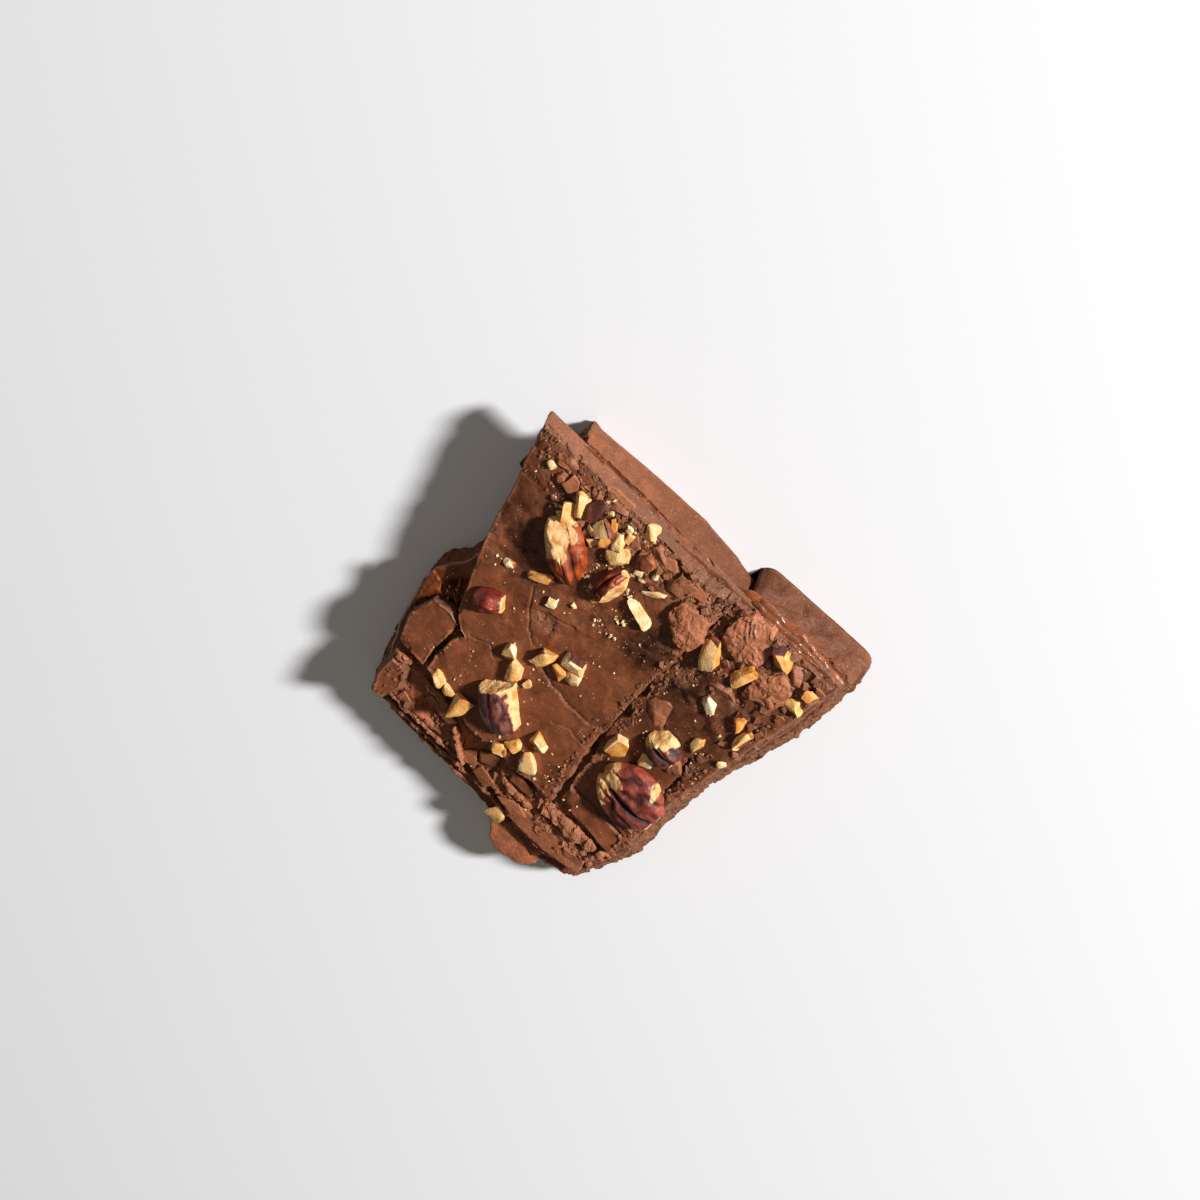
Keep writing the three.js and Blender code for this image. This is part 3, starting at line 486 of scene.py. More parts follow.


# Top of a plate: its level, the shared swells, crumbling to chunks at the front, scuffs, pimples, drag
# marks and dents, dips and hollows as ovals, cracks as narrow bell-shaped grooves with a step across them,
# and a thin raised lip and chips along the rim; also how broken it is, its painted light and shade, and how
# wet it is
def plateTop(kind, x, y, edge):
    shape, form = plates[kind], topForm
    torn, paintedShadingAndOil = form["torn"], form["paintedShadingAndOil"]
    wave = {name: waves(x, y, rows) for name, rows in topWaves.items()}
    patch = {name: fade(waves(x, y, rows), low, high) for name, (low, high, rows) in topPatches.items()}
    warpX, warpY = x + wave["warpX"], y + wave["warpY"]
    chunks = chunkRelief(warpX, warpY, form["chunkSize"], 11, form["chunkSlope"])[0]
    small = chunkRelief(warpX, warpY, form["smallSize"], 31, form["smallSlope"])[0]
    grit = chunkRelief(x, y, form["gritSize"], 41)[0]
    tip = fade(x, *form["tip"])
    kept = {name: 1 - share * tip for name, share in form["calm"].items()}
    start = form["start"] + (form["tipStart"] - form["start"]) * tip
    depth = form["depth"] + (form["tipDepth"] - form["depth"]) * tip
    front = fade(y + (form["wander"] - form["tipWander"] * tip) * wave["frontEdge"], start, start - depth)
    worn = fade(y + wave["wornEdge"], *form["worn"])
    scuff = patch["scuffs"] * (form["scuffEven"] + form["scuffWorn"] * worn)
    z = shape["top"] + wave["swell"] + wave["humps"]
    crumbled = front * kept["chunks"] * (form["chunks"] * chunks + form["small"] * small)
    z += crumbled + front * patch["grainy"] * kept["grit"] * form["grit"] * grit
    z -= front * kept["pits"] * form["pits"] * patch["pits"]
    z -= front * kept["chips"] * form["chips"] * patch["frontChips"] * bell(edge, form["chipReach"])
    z += (form["wornChunks"] * worn * (1 - front) * chunks
          + form["grain"] * crumble(x, y, 0 * x, form["grainSize"], 3) + form["scuffs"] * scuff * small)
    bare = np.maximum.reduce([torn["front"] * front, torn["scuffs"] * scuff, torn["worn"] * worn])
    pimple, gap = chunkRelief(x, y, form["pimpleSize"], 51, 0)
    z += form["pimples"] * fade(pimple, *form["pimpleAt"]) * fade(gap, *form["pimpleGap"])
    wayX, wayY = form["dragWay"]
    drag = noise((wayX * x + wayY * y) / form["dragLong"], (wayX * y - wayY * x) / form["dragWide"], 61)
    drag = drag * patch["dragged"]
    dents = wave["dents"] - form["dimples"] * patch["dimples"]
    z += (form["drag"] * drag + dents * (form["dentsEven"] + form["dentsWorn"] * worn)) * (1 - front)
    # Painted shading: darker and paler along the drag marks, and painted light over the crumbled front
    paintedShading = paintedShadingAndOil["drag"] * drag * (1 - front) - paintedShadingAndOil["front"] * front
    for *spot, deep in shape.get("dips", []):
        z -= deep * oval(x, y, spot, form["dipPower"])
    uneven = 1 + form["hollowChunks"] * chunks + form["hollowSmall"] * small + form["hollowGrit"] * grit
    for *spot, deep in shape.get("hollows", []):
        bowl = oval(x, y, spot)
        z -= deep * bowl * uneven
        bare = np.maximum(bare, torn["hollows"] * bowl)
        # Painted light on the floor of the hollow
        paintedShading -= paintedShadingAndOil["hollows"] * bowl
    jogX, jogY = [sum(far * jagged(s / apart, draw + n) for far, apart, draw in form["jogs"])
                  for n, s in enumerate((y, x))]
    for run, deep, wide, rise in shape.get("cracks", []):
        away, side = runDistance(x + jogX, y + jogY, run)
        z += rise * fade(away * side, -form["riseOver"], form["riseOver"]) * np.exp(-away / form["riseReach"])
        z -= deep * bell(away, wide)
        bare = np.maximum(bare, torn["cracks"] * bell(away, form["crackTorn"] * wide))
        # Painted shade down in the crack, and a painted highlight along the upper edge of its step
        paintedShading += paintedShadingAndOil["cracks"] * bell(away, form["crackDark"] * wide)
        upper = fade(side * (1 if rise >= 0 else -1), -0.5, 0.5)
        pale = bell(away - form["paintedCrackHighlightAt"], form["paintedCrackHighlightWide"])
        paintedShading -= paintedShadingAndOil["paintedCrackHighlight"] * upper * pale * (form["paintedCrackHighlight"] + wave["paintedCrackHighlight"])
    curled = form["lip"] * (form["lipLeast"] + form["lipMore"] * fade(x, *form["lipFrom"]))
    lip = bell(edge - form["lipAt"], form["lipAt"])
    z += curled * lip * (1 - front) - form["rimDrop"] * np.exp(-edge / form["rimDropReach"])
    chips = form["rimChips"] * patch["rimChips"] * (1 + form["rimChipSmall"] * small) + form["rimGrit"] * grit
    z -= chips * bell(edge, form["rimChipReach"])
    bare = np.maximum(bare, torn["rim"] * np.exp(-edge / form["rimTornReach"]))
    # Painted shade and painted shadows at the dark places, weaker where the top broke and wandering in
    # strength
    paintedShadingAndTone = 0 * x
    for *spot, amount in shape.get("dark", []):
        paintedShadingAndTone = np.maximum(paintedShadingAndTone, amount * oval(x, y, spot))
    paintedShadingAndTone = np.clip(paintedShadingAndTone * (1 - form["tornPale"] * bare) * (1 + wave["paintedShadeWander"]), 0, 1)
    # Painted highlight along the raised lip, where the rim catches the light
    paintedShading -= paintedShadingAndOil["lip"] * lip * (1 - front) * (form["paintedLipHighlight"] + wave["paintedLipHighlight"])
    wet = 0 * x
    for spot in shape.get("wet", []):
        wet = np.maximum(wet, patch["blots"] * oval(x, y, spot))
    # The oil darkens the wet places by its own colour
    paintedShading += paintedShadingAndOil["wet"] * wet
    return z, np.clip(bare, 0, 1), np.clip(paintedShadingAndTone + paintedShading, -1, 1), wet


# Walls of the plates: height of their foot over the caramel, lean where they don't flare, rows and how they
# crowd upwards, the way a side faces, then the cut and its drop, reliefs and their sizes, how torn they are,
# the painted shade of the cut and its painted light towards the tip, and the rings that close the underside
plateWall = dict(
    lift=0.15, lean=0.2, rows=12, crowd=1.2, facing=(0.3, 0.8), span=5,
    settle=0.2, cutRough=0.05, cutDrop=0.2, facet=0.2, facetSize=2.2, facetSlant=0.8, facetTall=1.6,
    crumb=0.22, crumbSize=1.6, smear=0.06, smearSize=0.9, smearLong=5, wave=0.12, waveLong=6, easeIn=4,
    torn=0.9, cutTorn=0.36, cutPaintedShade=0.14, tipPaintedLight=0.36, tipAt=(20, 34), under=(0.85, 0.4), underTorn=0.5)


# A plate: its four broken sides filled by a Coons patch (sides blended across, less the blend of the
# corners), with more rows near the front, a wall carried down from the rim and rings that close the
# underside; a cut front wall settles from the broken rim to a smooth face
def makePlate(kind):
    shape, wall = plates[kind], plateWall
    nu, nv = shape["across"], shape["along"]
    us = np.linspace(0, 1, nu)
    dense = [0, shape.get("denseRows", 0.5), 1], [0, shape.get("denseLength", 0.5), 1]
    vs = np.interp(np.linspace(0, 1, nv), *dense)
    rough = shape.get("rough", slab["edgeRough"])
    front = brokenRun(shape["front"], us, rough=rough)[0]
    back = brokenRun(shape["back"], 1 - us, rough=rough)[0]
    right = brokenRun(shape["right"], vs, rough=shape.get("rightRough", 0.5) * rough)[0]
    left = brokenRun(shape["left"], 1 - vs, rough=shape.get("leftRough", 1.0) * rough)[0]
    u, v = us[None, :, None], vs[:, None, None]
    sides = (1 - v) * front[None] + v * back[None] + (1 - u) * left[:, None] + u * right[:, None]
    cornerBlend = ((1 - u) * (1 - v) * front[0] + u * (1 - v) * front[-1]
                   + (1 - u) * v * back[0] + u * v * back[-1])
    x, y = np.moveaxis(sides - cornerBlend, -1, 0)
    width = np.linalg.norm(right - left, axis=1)[:, None]
    depth = np.linalg.norm(back - front, axis=1)[None, :]
    u, v = us[None, :], vs[:, None]
    edge = np.minimum(np.minimum(u, 1 - u) * width, np.minimum(v, 1 - v) * depth)
    z, bare, paintedShadingAndTone, wet = plateTop(kind, x, y, edge)
    grid = np.stack([x, y, z], -1).reshape(-1, 3)
    index = np.arange(nu * nv).reshape(nv, nu)
    rim = np.concatenate([index[0], index[1:, -1], index[-1, -2::-1], index[-2:0:-1, 0]])
    top = grid[rim]
    rimX, rimY = top[:, 0], top[:, 1]
    way = np.roll(top[:, :2], -wall["span"], axis=0) - np.roll(top[:, :2], wall["span"], axis=0)
    way /= np.linalg.norm(way, axis=1, keepdims=True)
    out = np.stack([way[:, 1], -way[:, 0]], 1)
    bottom = slab["caramelTop"] + wall["lift"]
    facing = fade(-out[:, 1], *wall["facing"])
    flared = dict(front=facing, left=fade(-out[:, 0], *wall["facing"]), all=1.0)[shape["flares"]]
    spread = wall["lean"] + (shape["foot"] - wall["lean"]) * flared
    calm = facing * fade(rimX, *shape["cut"]) if "cut" in shape else 0 * facing
    cutXY = top[:, :2].copy()
    cutXY[:nu] = brokenRun(shape["front"], us, rough=wall["cutRough"])[0]
    loops, bared, paintedWallShading = [], [], []
    for share in np.linspace(0, 1, shape.get("wallRows", wall["rows"]) + 1)[1:] ** wall["crowd"]:
        settled = calm * fade(share, 0.0, wall["settle"])
        xy = top[:, :2] * (1 - settled[:, None]) + cutXY * settled[:, None]
        rimZ = top[:, 2] * (1 - settled) + (shape["top"] - wall["cutDrop"]) * settled
        height = rimZ * (1 - share) + bottom * share
        slant, tall = rimX * wall["facetSlant"] + rimY, height * wall["facetTall"]
        facet = chunkRelief(slant, tall, wall["facetSize"], 61)[0]
        dent = wall["facet"] * facet + wall["crumb"] * crumble(rimX, rimY, height, wall["crumbSize"], 4)
        smear = (wall["smear"] * crumble(rimX / wall["smearLong"], rimY / wall["smearLong"], height,
                                         wall["smearSize"], 3)
                 + wall["wave"] * noise(rimX / wall["waveLong"], rimY / wall["waveLong"], 3))
        push = spread * share + (dent * (1 - settled) + smear * settled) * min(1, wall["easeIn"] * share)
        loops.append(np.column_stack([xy + push[:, None] * out, height]))
        bared.append(wall["torn"] - wall["cutTorn"] * settled)
        # The cut wall: painted shade, and painted light towards the tip
        paintedWallShading.append((wall["cutPaintedShade"] - wall["tipPaintedLight"] * fade(rimX, *wall["tipAt"])) * settled)
    middle = loops[-1].mean(0)
    for share in wall["under"]:
        loops.append(middle + share * (loops[-1] - middle))
        bared.append(np.full(len(top), wall["underTorn"]))
        paintedWallShading.append(np.zeros(len(top)))
    places = np.concatenate([grid] + loops + [middle[None]])
    n = len(rim)
    rings = np.concatenate([rim[None], len(grid) + np.arange(len(loops) * n).reshape(-1, n)])
    nextRing = np.roll(rings, -1, axis=1)
    walls = np.stack([rings[1:], nextRing[1:], nextRing[:-1], rings[:-1]], -1).reshape(-1, 4)
    last = rings[-1]
    fan = np.stack([np.full(n, len(places) - 1), np.roll(last, -1), last], -1)
    layers = dict(broken=np.concatenate([bare.ravel()] + bared + [[wall["underTorn"]]]),
                  paintedShadingAndTone=np.concatenate([paintedShadingAndTone.ravel()] + paintedWallShading + [[0.0]]),
                  wet=np.concatenate([wet.ravel(), np.zeros(len(places) - wet.size)]))
    quads = np.concatenate([gridQuads(nv, nu), walls])
    return makePiece(shape["name"], places, quads, fan, chocolate, layers)


mainPlate, leftPlate, cornerPlate, cornerBlock = [makePlate(kind) for kind in plates]
print("plates made")


# A solid carried round an outline: each row of a profile gives a share of the outline's width, how far the
# points stand out from it, their height and, where the finish reads them, how broken they are and their
# painted light and shade; fans close the first and last row
def ringSolid(name, outline, out, rows, material):
    middle = outline.mean(0)
    n = len(outline)
    loops = []
    for shrink, stand, height in [row[:3] for row in rows]:
        xy = middle + (outline - middle) * shrink + out * np.reshape(stand, (-1, 1))
        loops.append(np.column_stack([xy, np.broadcast_to(height, n)]))
    places = np.concatenate(loops + [np.stack([loops[0].mean(0), loops[-1].mean(0)])])
    layers = {}
    for key, values in zip(("broken", "paintedShadingAndTone"), zip(*[row[3:] for row in rows])):
        around = np.ravel([np.broadcast_to(v, n) for v in values])
        layers[key] = np.concatenate([around, [values[0], values[-1]]])
    return makePiece(name, places, gridQuads(len(loops), n, True), endFans(len(loops), n), material, layers)


# Lower layer: flares of its foot to each side and along the front, reliefs of its wall and their sizes, the
# split in its front, how torn it is and its painted light and shade, and how far in its top rim is modelled.
# toneAt and tone paint shade on the front, darkest just left of the split, and painted light towards the
# right tip
base = dict(
    points=1150, rough=0.1, wallRows=28, facing=(0.35, 0.85), leftFrom=(-14, -16),
    right=2.4, left=2.6, frontLeft=4.4,
    frontAt=[-14.4, -12, -7, 5, 20, 38], frontFlare=[0.6, 0.6, 2.0, 3.0, 1.7, 0.3],
    under=(0.4, 0.9, 0.985), underTorn=0.6, foot=0.35, rimDrop=0.15, footRound=0.7, rimRound=0.4,
    lean=0.5, leanLong=9, smear=0.1, smearSize=1.1, smearLong=5, fold=1.2, swirlLong=4.2, swirlTall=1.7,
    crumb=0.36, crumbSize=1.7, facetSize=2.6, frontCalm=0.85,
    split=2.2, splitAt=-14.3, splitLean=0.12, splitWide=0.42,
    torn=0.95, cutTorn=0.42, groove=0.18, crest=0.12, pale=0.35, paintedFootLightAt=0.06, paintedFootLightWide=0.05,
    toneAt=[-46, -30, -14.5, -14.3, -5, 6, 15, 25, 38],
    tone=[0.18, 0.3, 0.36, 0.2, 0.25, 0.18, -0.02, -0.18, -0.18],
    rim=(0.4, 0.8, 1.3, 1.9, 2.6, 3.4, 4.4, 5.6, 7.0), rimTorn=0.5, rimWorn=0.3, ripple=0.26, rippleSize=1.6)


# Flat underside, a wall whose foot flares most at the front left, smeared along and folded in terraces
# there as a cut side is, crumbled elsewhere, rounded at foot and rim, and a rippled rim that shows at the
# back
def makeBase():
    outline, out, x, y = brokenOutline("base", base["points"], base["rough"])
    front = fade(-out[:, 1], *base["facing"])
    frontLeft = fade(x, *base["leftFrom"])
    side = np.where(x > 0, base["right"], base["left"])
    ahead = np.interp(x, base["frontAt"], base["frontFlare"])
    ahead = ahead * (1 - frontLeft) + base["frontLeft"] * frontLeft
    flare = side * (1 - front) + ahead * front
    tone = np.interp(x, base["toneAt"], base["tone"])
    rows = [(shrink, flare * shrink, 0.0, base["underTorn"], 0.0) for shrink in base["under"]]
    for share in np.linspace(0, 1, base["wallRows"] + 1):
        z = base["foot"] + (slab["baseTop"] - base["foot"] - base["rimDrop"]) * share
        rounded = base["footRound"] * (1 - min(1, share * 7)) ** 2
        rounded = rounded + base["rimRound"] * max(0, share * 8 - 7) ** 2
        lean = z + base["lean"] * noise(x / base["leanLong"], y / base["leanLong"], 3)
        smear = crumble(x / base["smearLong"], y / base["smearLong"], lean, base["smearSize"], 3)
        swirl = noise((x + 1.4 * z) / base["swirlLong"], (z - 0.35 * x) / base["swirlTall"], 3)
        terrace = 0.18 * (swirl + 1) + 0.4 * fade(swirl, 0.1, 0.22) + 0.25 * fade(swirl, -0.3, -0.2)
        folds = base["fold"] * frontLeft * front * (terrace - 1) * (0.3 + 0.7 * share)
        facet = chunkRelief(x * 0.8 + y, 1.5 * lean, base["facetSize"], 71)[0]
        broken = facet + crumble(x, y, lean, base["crumbSize"], 4)
        rough = (1 - base["frontCalm"] * front) * base["crumb"] * broken
        split = bell(x - base["splitAt"] + base["splitLean"] * (z - 4), base["splitWide"]) * front
        stand = flare * (1 - share) + base["smear"] * smear + folds + rough - rounded - base["split"] * split
        # Painted shade in the grooves of the folds and painted light on their crests, on the front left, and
        # a band of painted light along the foot of the front
        paintedShading = base["groove"] * bell(swirl - 0.16, 0.08) - base["crest"] * bell(swirl - 0.34, 0.1)
        pale = base["pale"] * bell(share - base["paintedFootLightAt"], base["paintedFootLightWide"])
        paintedShadingAndTone = front * (tone + frontLeft * paintedShading - pale)
        rows.append((1.0, stand, z, base["torn"] - base["cutTorn"] * front, paintedShadingAndTone))
    for inner in base["rim"]:
        ripple = base["ripple"] * crumble(x * 0.6, y - inner, inner + 0 * x, base["rippleSize"], 4)
        torn = base["rimTorn"] + base["rimWorn"] * noise(x / 3, y / 3, inner)
        rows.append((1.0, -inner + 0 * x, slab["baseTop"] - base["rimDrop"] + ripple, torn, 0.0))
    rows.append((0.5, 0 * x, slab["baseTop"] - 2 * base["rimDrop"], base["rimTorn"], 0.0))
    return ringSolid("baseLayer", outline, out, rows, cutChocolate)


baseLayer = makeBase()

# Flap at the back: a thin sheet that tips up towards its rim; its top is given as share of its width and
# lift.
# It is painted lighter all over: painted light, as the slab shades it
flap = dict(points=260, rough=0.55, bottom=5.2, top=7.9, skin=0.3, rise=0.4, droop=1.3, droopAt=(58, 69),
            under=(0.3, 0.7, 0.92), wallRows=8, bulge=0.3, crumb=0.18, crumbSize=1.2, uneven=0.12, torn=0.35,
            paintedShadingAndTone=-0.75, topRows=[(0.95, 0.05), (0.85, 0.2), (0.7, 0.3), (0.5, 0.38), (0.25, 0.42)])


# Rings across its underside, a wall that bulges by half a sine, and rings in across its top; each is lowered
# by the droop times its share of the width
def makeFlap():
    outline, out, x, y = brokenOutline("flap", flap["points"], flap["rough"])
    droop = flap["rise"] - flap["droop"] * fade(y, *flap["droopAt"])
    low, high = flap["bottom"] + flap["skin"], flap["top"] - flap["skin"]
    tall = flap["top"] - flap["bottom"] - 2 * flap["skin"]
    rows = [(shrink, 0 * x, low - droop * shrink) for shrink in flap["under"]]
    for share in np.linspace(0, 1, flap["wallRows"]):
        crumbs = flap["crumb"] * crumble(x, y, share * 2 + 0 * x, flap["crumbSize"], 3)
        rows.append((1.0, flap["bulge"] * math.sin(math.pi * share) + crumbs, low - droop + share * tall))
    for shrink, lift in flap["topRows"]:
        uneven = flap["uneven"] * crumble(x * shrink, y * shrink, 0 * x, 2, 3)
        rows.append((shrink, 0 * x, high + lift - droop * shrink + uneven))
    return ringSolid("backFlap", outline, out, [(*row, flap["torn"], flap["paintedShadingAndTone"]) for row in rows], chocolate)


backFlap = makeFlap()

# Caramel sheet: bulges between the layers, with slow waves along the seam, and sinks into a hollow at the
# notch, given as plan place, half sizes and depth; inner is how far in each row of its top lies
seam = dict(points=1000, rough=0.15, wallRows=9, bulge=0.5, slow=0.5, slowLong=5, quick=0.35, quickLong=1.7,
            foot=0.3, ripple=0.35, rippleSize=1.8, hollow=(36.6, 19.6, 2.8, 3.6, 2.0),
            inner=(0.5, 1.0, 1.6, 2.3, 3.1, 4.0, 5.0, 6.1, 7.3, 8.6, 10.0))


# A wall that bulges by half a sine, plus waves along it, and a rippled top in from the edge, less the hollow
def makeCaramel():
    outline, out, x, y = brokenOutline("caramel", seam["points"], seam["rough"])
    bottom, top = slab["baseTop"], slab["caramelTop"]
    rows = [(shrink, 0 * x, bottom - 0.25) for shrink in (0.5, 0.97)]
    for share in np.linspace(0, 1, seam["wallRows"]):
        wave = (seam["slow"] * noise(x / seam["slowLong"], y / seam["slowLong"], 2)
                + seam["quick"] * noise(x / seam["quickLong"], y / seam["quickLong"], 2 * share))
        stand = seam["bulge"] * (math.sin(math.pi * share) + wave) + seam["foot"] * (1 - share)
        rows.append((1.0, stand, bottom - 0.1 + share * (top - bottom + 0.15)))
    *spot, deep = seam["hollow"]
    for inner in seam["inner"]:
        px, py = x - inner * out[:, 0], y - inner * out[:, 1]
        ripple = seam["ripple"] * crumble(px * 1.6, py * 0.6, 0 * x, seam["rippleSize"], 4)
        height = top + 0.05 + ripple * min(1, inner / 2) - deep * oval(px, py, spot)
        rows.append((1.0, -inner + 0 * x, height))
    rows.append((0.5, 0 * x, top - 0.2))
    return ringSolid("caramelSheet", outline, out, rows, caramel)


caramelSheet = makeCaramel()

# Bed of the upper layer: smooth trough and thin lip behind the plates, rubble at their feet, given as
# strength, size and draw of each chunk relief; in from its edge it is drawn in rings over its reach. Behind
# the plates pale paints it lighter: painted light
bed = dict(points=1100, rough=0.3, reach=15.0, rings=30, pale=0.85, behind=(42, 46), trough=0.45,
           lip=0.5, lipAt=53.2, lipWander=0.5, lipWide=0.4, chunks=[(0.5, 2.4, 81), (0.3, 1.0, 84)],
           crumb=0.3, crumbSize=1.5, swept=0.7, grain=0.05, grainSize=1.6,
           wallRows=5, foot=0.5, edgeCrumb=0.2, underTorn=0.6, edgeTorn=0.9, middleTorn=0.4)


# Level of the bed, less the trough, plus the lip as a wandering bell, rubble of chunks and crumbs, and a
# fine grain
def bedTop(x, y):
    behind = fade(y, *bed["behind"])
    trough = bed["trough"] * behind * fade(y, 46.2, 48.2) * fade(y, 53.4, 52) * fade(x, -2, 4)
    wander = bed["lipWander"] * noise(x / 5, 0 * x, 2)
    lip = bed["lip"] * bell(y - bed["lipAt"] - wander, bed["lipWide"]) * fade(x, 4, 9) * fade(x, 33, 30)
    rubble = sum(strength * chunkRelief(x, y, size, draw)[0] for strength, size, draw in bed["chunks"])
    rubble = rubble + bed["crumb"] * crumble(x, y, 0 * x, bed["crumbSize"], 4)
    rubble = behind * (1 - bed["swept"] * fade(x, 0, 6) * fade(y, 46, 48)) * rubble
    grain = bed["grain"] * crumble(x * 0.4, y * 2, 0 * x, bed["grainSize"], 3)
    return slab["bedTop"] - trough + lip + rubble + grain


# A wall up to the level of the bed at its edge, and rings in from there that follow that level
def makeBed():
    outline, out, x, y = brokenOutline("bed", bed["points"], bed["rough"])
    bottom = slab["caramelTop"]
    rows = [(shrink, 0 * x, bottom, bed["underTorn"], 0.0) for shrink in (0.5, 0.97)]
    edgeTop = bedTop(x, y)
    for share in np.linspace(0, 1, bed["wallRows"]):
        stand = bed["foot"] * (1 - share) + bed["edgeCrumb"] * crumble(x, y, 3 * share + 0 * x, 1.2, 3)
        rows.append((1.0, stand, bottom + share * (edgeTop - bottom), bed["edgeTorn"], 0.0))
    for inner in np.linspace(0.4, bed["reach"], bed["rings"]):
        px, py = x - inner * out[:, 0], y - inner * out[:, 1]
        torn = np.clip(0.25 + 0.5 * noise(px / 3, py / 1.5, 5), 0.05, 0.9)
        # painted light behind the plates
        rows.append((1.0, -inner + 0 * x, bedTop(px, py), torn, -bed["pale"] * fade(py, *bed["behind"])))
    rows.append((0.3, 0 * x, slab["bedTop"], bed["middleTorn"], 0.0))
    return ringSolid("topBed", outline, out, rows, chocolate)


topBed = makeBed()
print("layers made")


# Distance in from the rim at which a plate's top no longer feels it
inland = 5.0


# Height of the chocolate under plan points: the highest of the layers and plates that lie there
def groundAt(x, y):
    x, y = np.asarray(x, float), np.asarray(y, float)
    height = np.where(inside(x, y, outlines["base"]), slab["baseTop"], 0.0)
    height = np.where(inside(x, y, outlines["caramel"]), slab["caramelTop"], height)
    height = np.where(inside(x, y, outlines["bed"]), bedTop(x, y), height)
    for kind, shape in plates.items():
        corners = [p for side in ("front", "right", "back", "left") for p in shape[side][:-1]]
        height = np.where(inside(x, y, corners), plateTop(kind, x, y, inland + 0 * x)[0], height)
    return height


# Directions of a ball: rings from pole to pole, with one point at each pole
def ballDirections(rings, around):
    polar = np.linspace(0, math.pi, rings + 2)[1:-1]
    turn = np.linspace(0, 2 * math.pi, around, endpoint=False)
    p, t = np.meshgrid(polar, turn, indexing="ij")
    belt = np.stack([np.sin(p) * np.cos(t), np.sin(p) * np.sin(t), np.cos(p)], -1).reshape(-1, 3)
    return np.concatenate([belt, [[0, 0, 1], [0, 0, -1]]])


# Faces of that ball
def ballFaces(rings, around):
    quads = gridQuads(rings, around, True)[:, ::-1]
    first, last = np.arange(around), (rings - 1) * around + np.arange(around)
    north, south = rings * around, rings * around + 1
    top = np.stack([np.full(around, north), first, np.roll(first, -1)], -1)
    low = np.stack([np.full(around, south), np.roll(last, -1), last], -1)
    return quads, np.concatenate([top, low])


# Solids moved and stretched to fill half sizes of 1
def filledOut(solids):
    low, high = solids.min(1, keepdims=True), solids.max(1, keepdims=True)
    return (solids - (low + high) / 2) / ((high - low) / 2)


# Chopped solids: each direction reaches out to a few random flat cuts with slightly rounded corners, by the
# power mean of direction dot cut normal over cut distance
def choppedSolids(count, shape, draws):
    directions = ballDirections(shape["rings"], shape["around"])
    normals = draws.normal(size=(count, shape["cuts"], 3))
    normals /= np.linalg.norm(normals, axis=-1, keepdims=True)
    distance = draws.uniform(*shape["cutAt"], (count, shape["cuts"]))
    lean = np.maximum(np.einsum("dk,nck->ndc", directions, normals) / distance[:, None, :], 0)
    reach = (np.sum(lean ** shape["sharp"], -1) + shape["limit"] ** -shape["sharp"]) ** (-1 / shape["sharp"])
    return filledOut(directions[None] * reach[..., None])


# Surface of a cube from -1 to 1 cut into cells, narrower towards its edges: points on the six faces, and
# quads
def cubeSurface(cells):
    steps = np.arange(cells + 1)
    i, j, k = np.meshgrid(steps, steps, steps, indexing="ij")
    shell = (i % cells == 0) | (j % cells == 0) | (k % cells == 0)
    number = (np.cumsum(shell) - 1).reshape(shell.shape)
    points = np.sin((np.stack([i[shell], j[shell], k[shell]], 1) * 2 / cells - 1) * math.pi / 2)
    quads = []
    for axis in range(3):
        for end in (0, cells):
            face = np.take(number, end, axis)
            ring = [face[:-1, :-1], face[1:, :-1], face[1:, 1:], face[:-1, 1:]]
            quads.append(np.stack(ring[::-1] if (axis == 1) == (end > 0) else ring, -1).reshape(-1, 4))
    return points, np.concatenate(quads)


# Chopped boxes: cubes with edges rounded by a high power, their eight corners moved at random and the rest
# blended between them, then trimmed by random flat cuts; also the quads, and the number of the face each
# point is on
def choppedBoxes(count, shape, draws):
    points, quads = cubeSurface(shape["cells"])
    face = 2 * np.abs(points).argmax(1) + (points.max(1) >= -points.min(1))
    sharp = draws.uniform(*shape["sharp"], (count, 1, 1))
    solids = points[None] / (np.abs(points[None]) ** sharp).sum(-1, keepdims=True) ** (1 / sharp)
    ends = np.array([[a, b, c] for a in (-1, 1) for b in (-1, 1) for c in (-1, 1)])
    weight = np.prod((1 + points[:, None] * ends) / 2, -1)
    moved = draws.uniform(-shape["uneven"], shape["uneven"], (count, 8, 3))
    solids = solids + np.einsum("pc,nck->npk", weight, moved)
    for trim in range(shape["trims"]):
        normal = draws.normal(size=(count, 3))
        normal /= np.linalg.norm(normal, axis=1, keepdims=True)
        past = np.einsum("npk,nk->np", solids, normal) - draws.uniform(*shape["trimAt"], (count, 1))
        solids = solids - np.maximum(past, 0)[..., None] * normal[:, None]
    return filledOut(solids), quads, face


# Tip about the long axis, then turn about the upright one, by angles in degrees; one row of places for each
# angle
def turned(places, tip, heading):
    x, y, z = np.moveaxis(places, -1, 0)
    for angle, upright in ((tip, False), (heading, True)):
        c, s = np.cos(np.radians(angle))[:, None], np.sin(np.radians(angle))[:, None]
        if upright:
            x, y = c * x - s * y, s * x + c * y
        else:
            y, z = c * y - s * z, s * y + c * z
    return np.stack([x, y, z], -1)


# Many small solids in one mesh, their faces repeated with shifted numbers
def joinedPiece(name, places, quads, triangles, material, layers, corner=None):
    count, each = places.shape[:2]
    shift = (np.arange(count) * each)[:, None, None]
    manyQuads = (quads[None] + shift).reshape(-1, 4)
    manyTriangles = (triangles[None] + shift).reshape(-1, 3)
    return makePiece(name, places.reshape(-1, 3), manyQuads, manyTriangles, material, layers, corner=corner)


# Faces of solids that have four-sided faces only
noTriangles = np.zeros((0, 3), int)

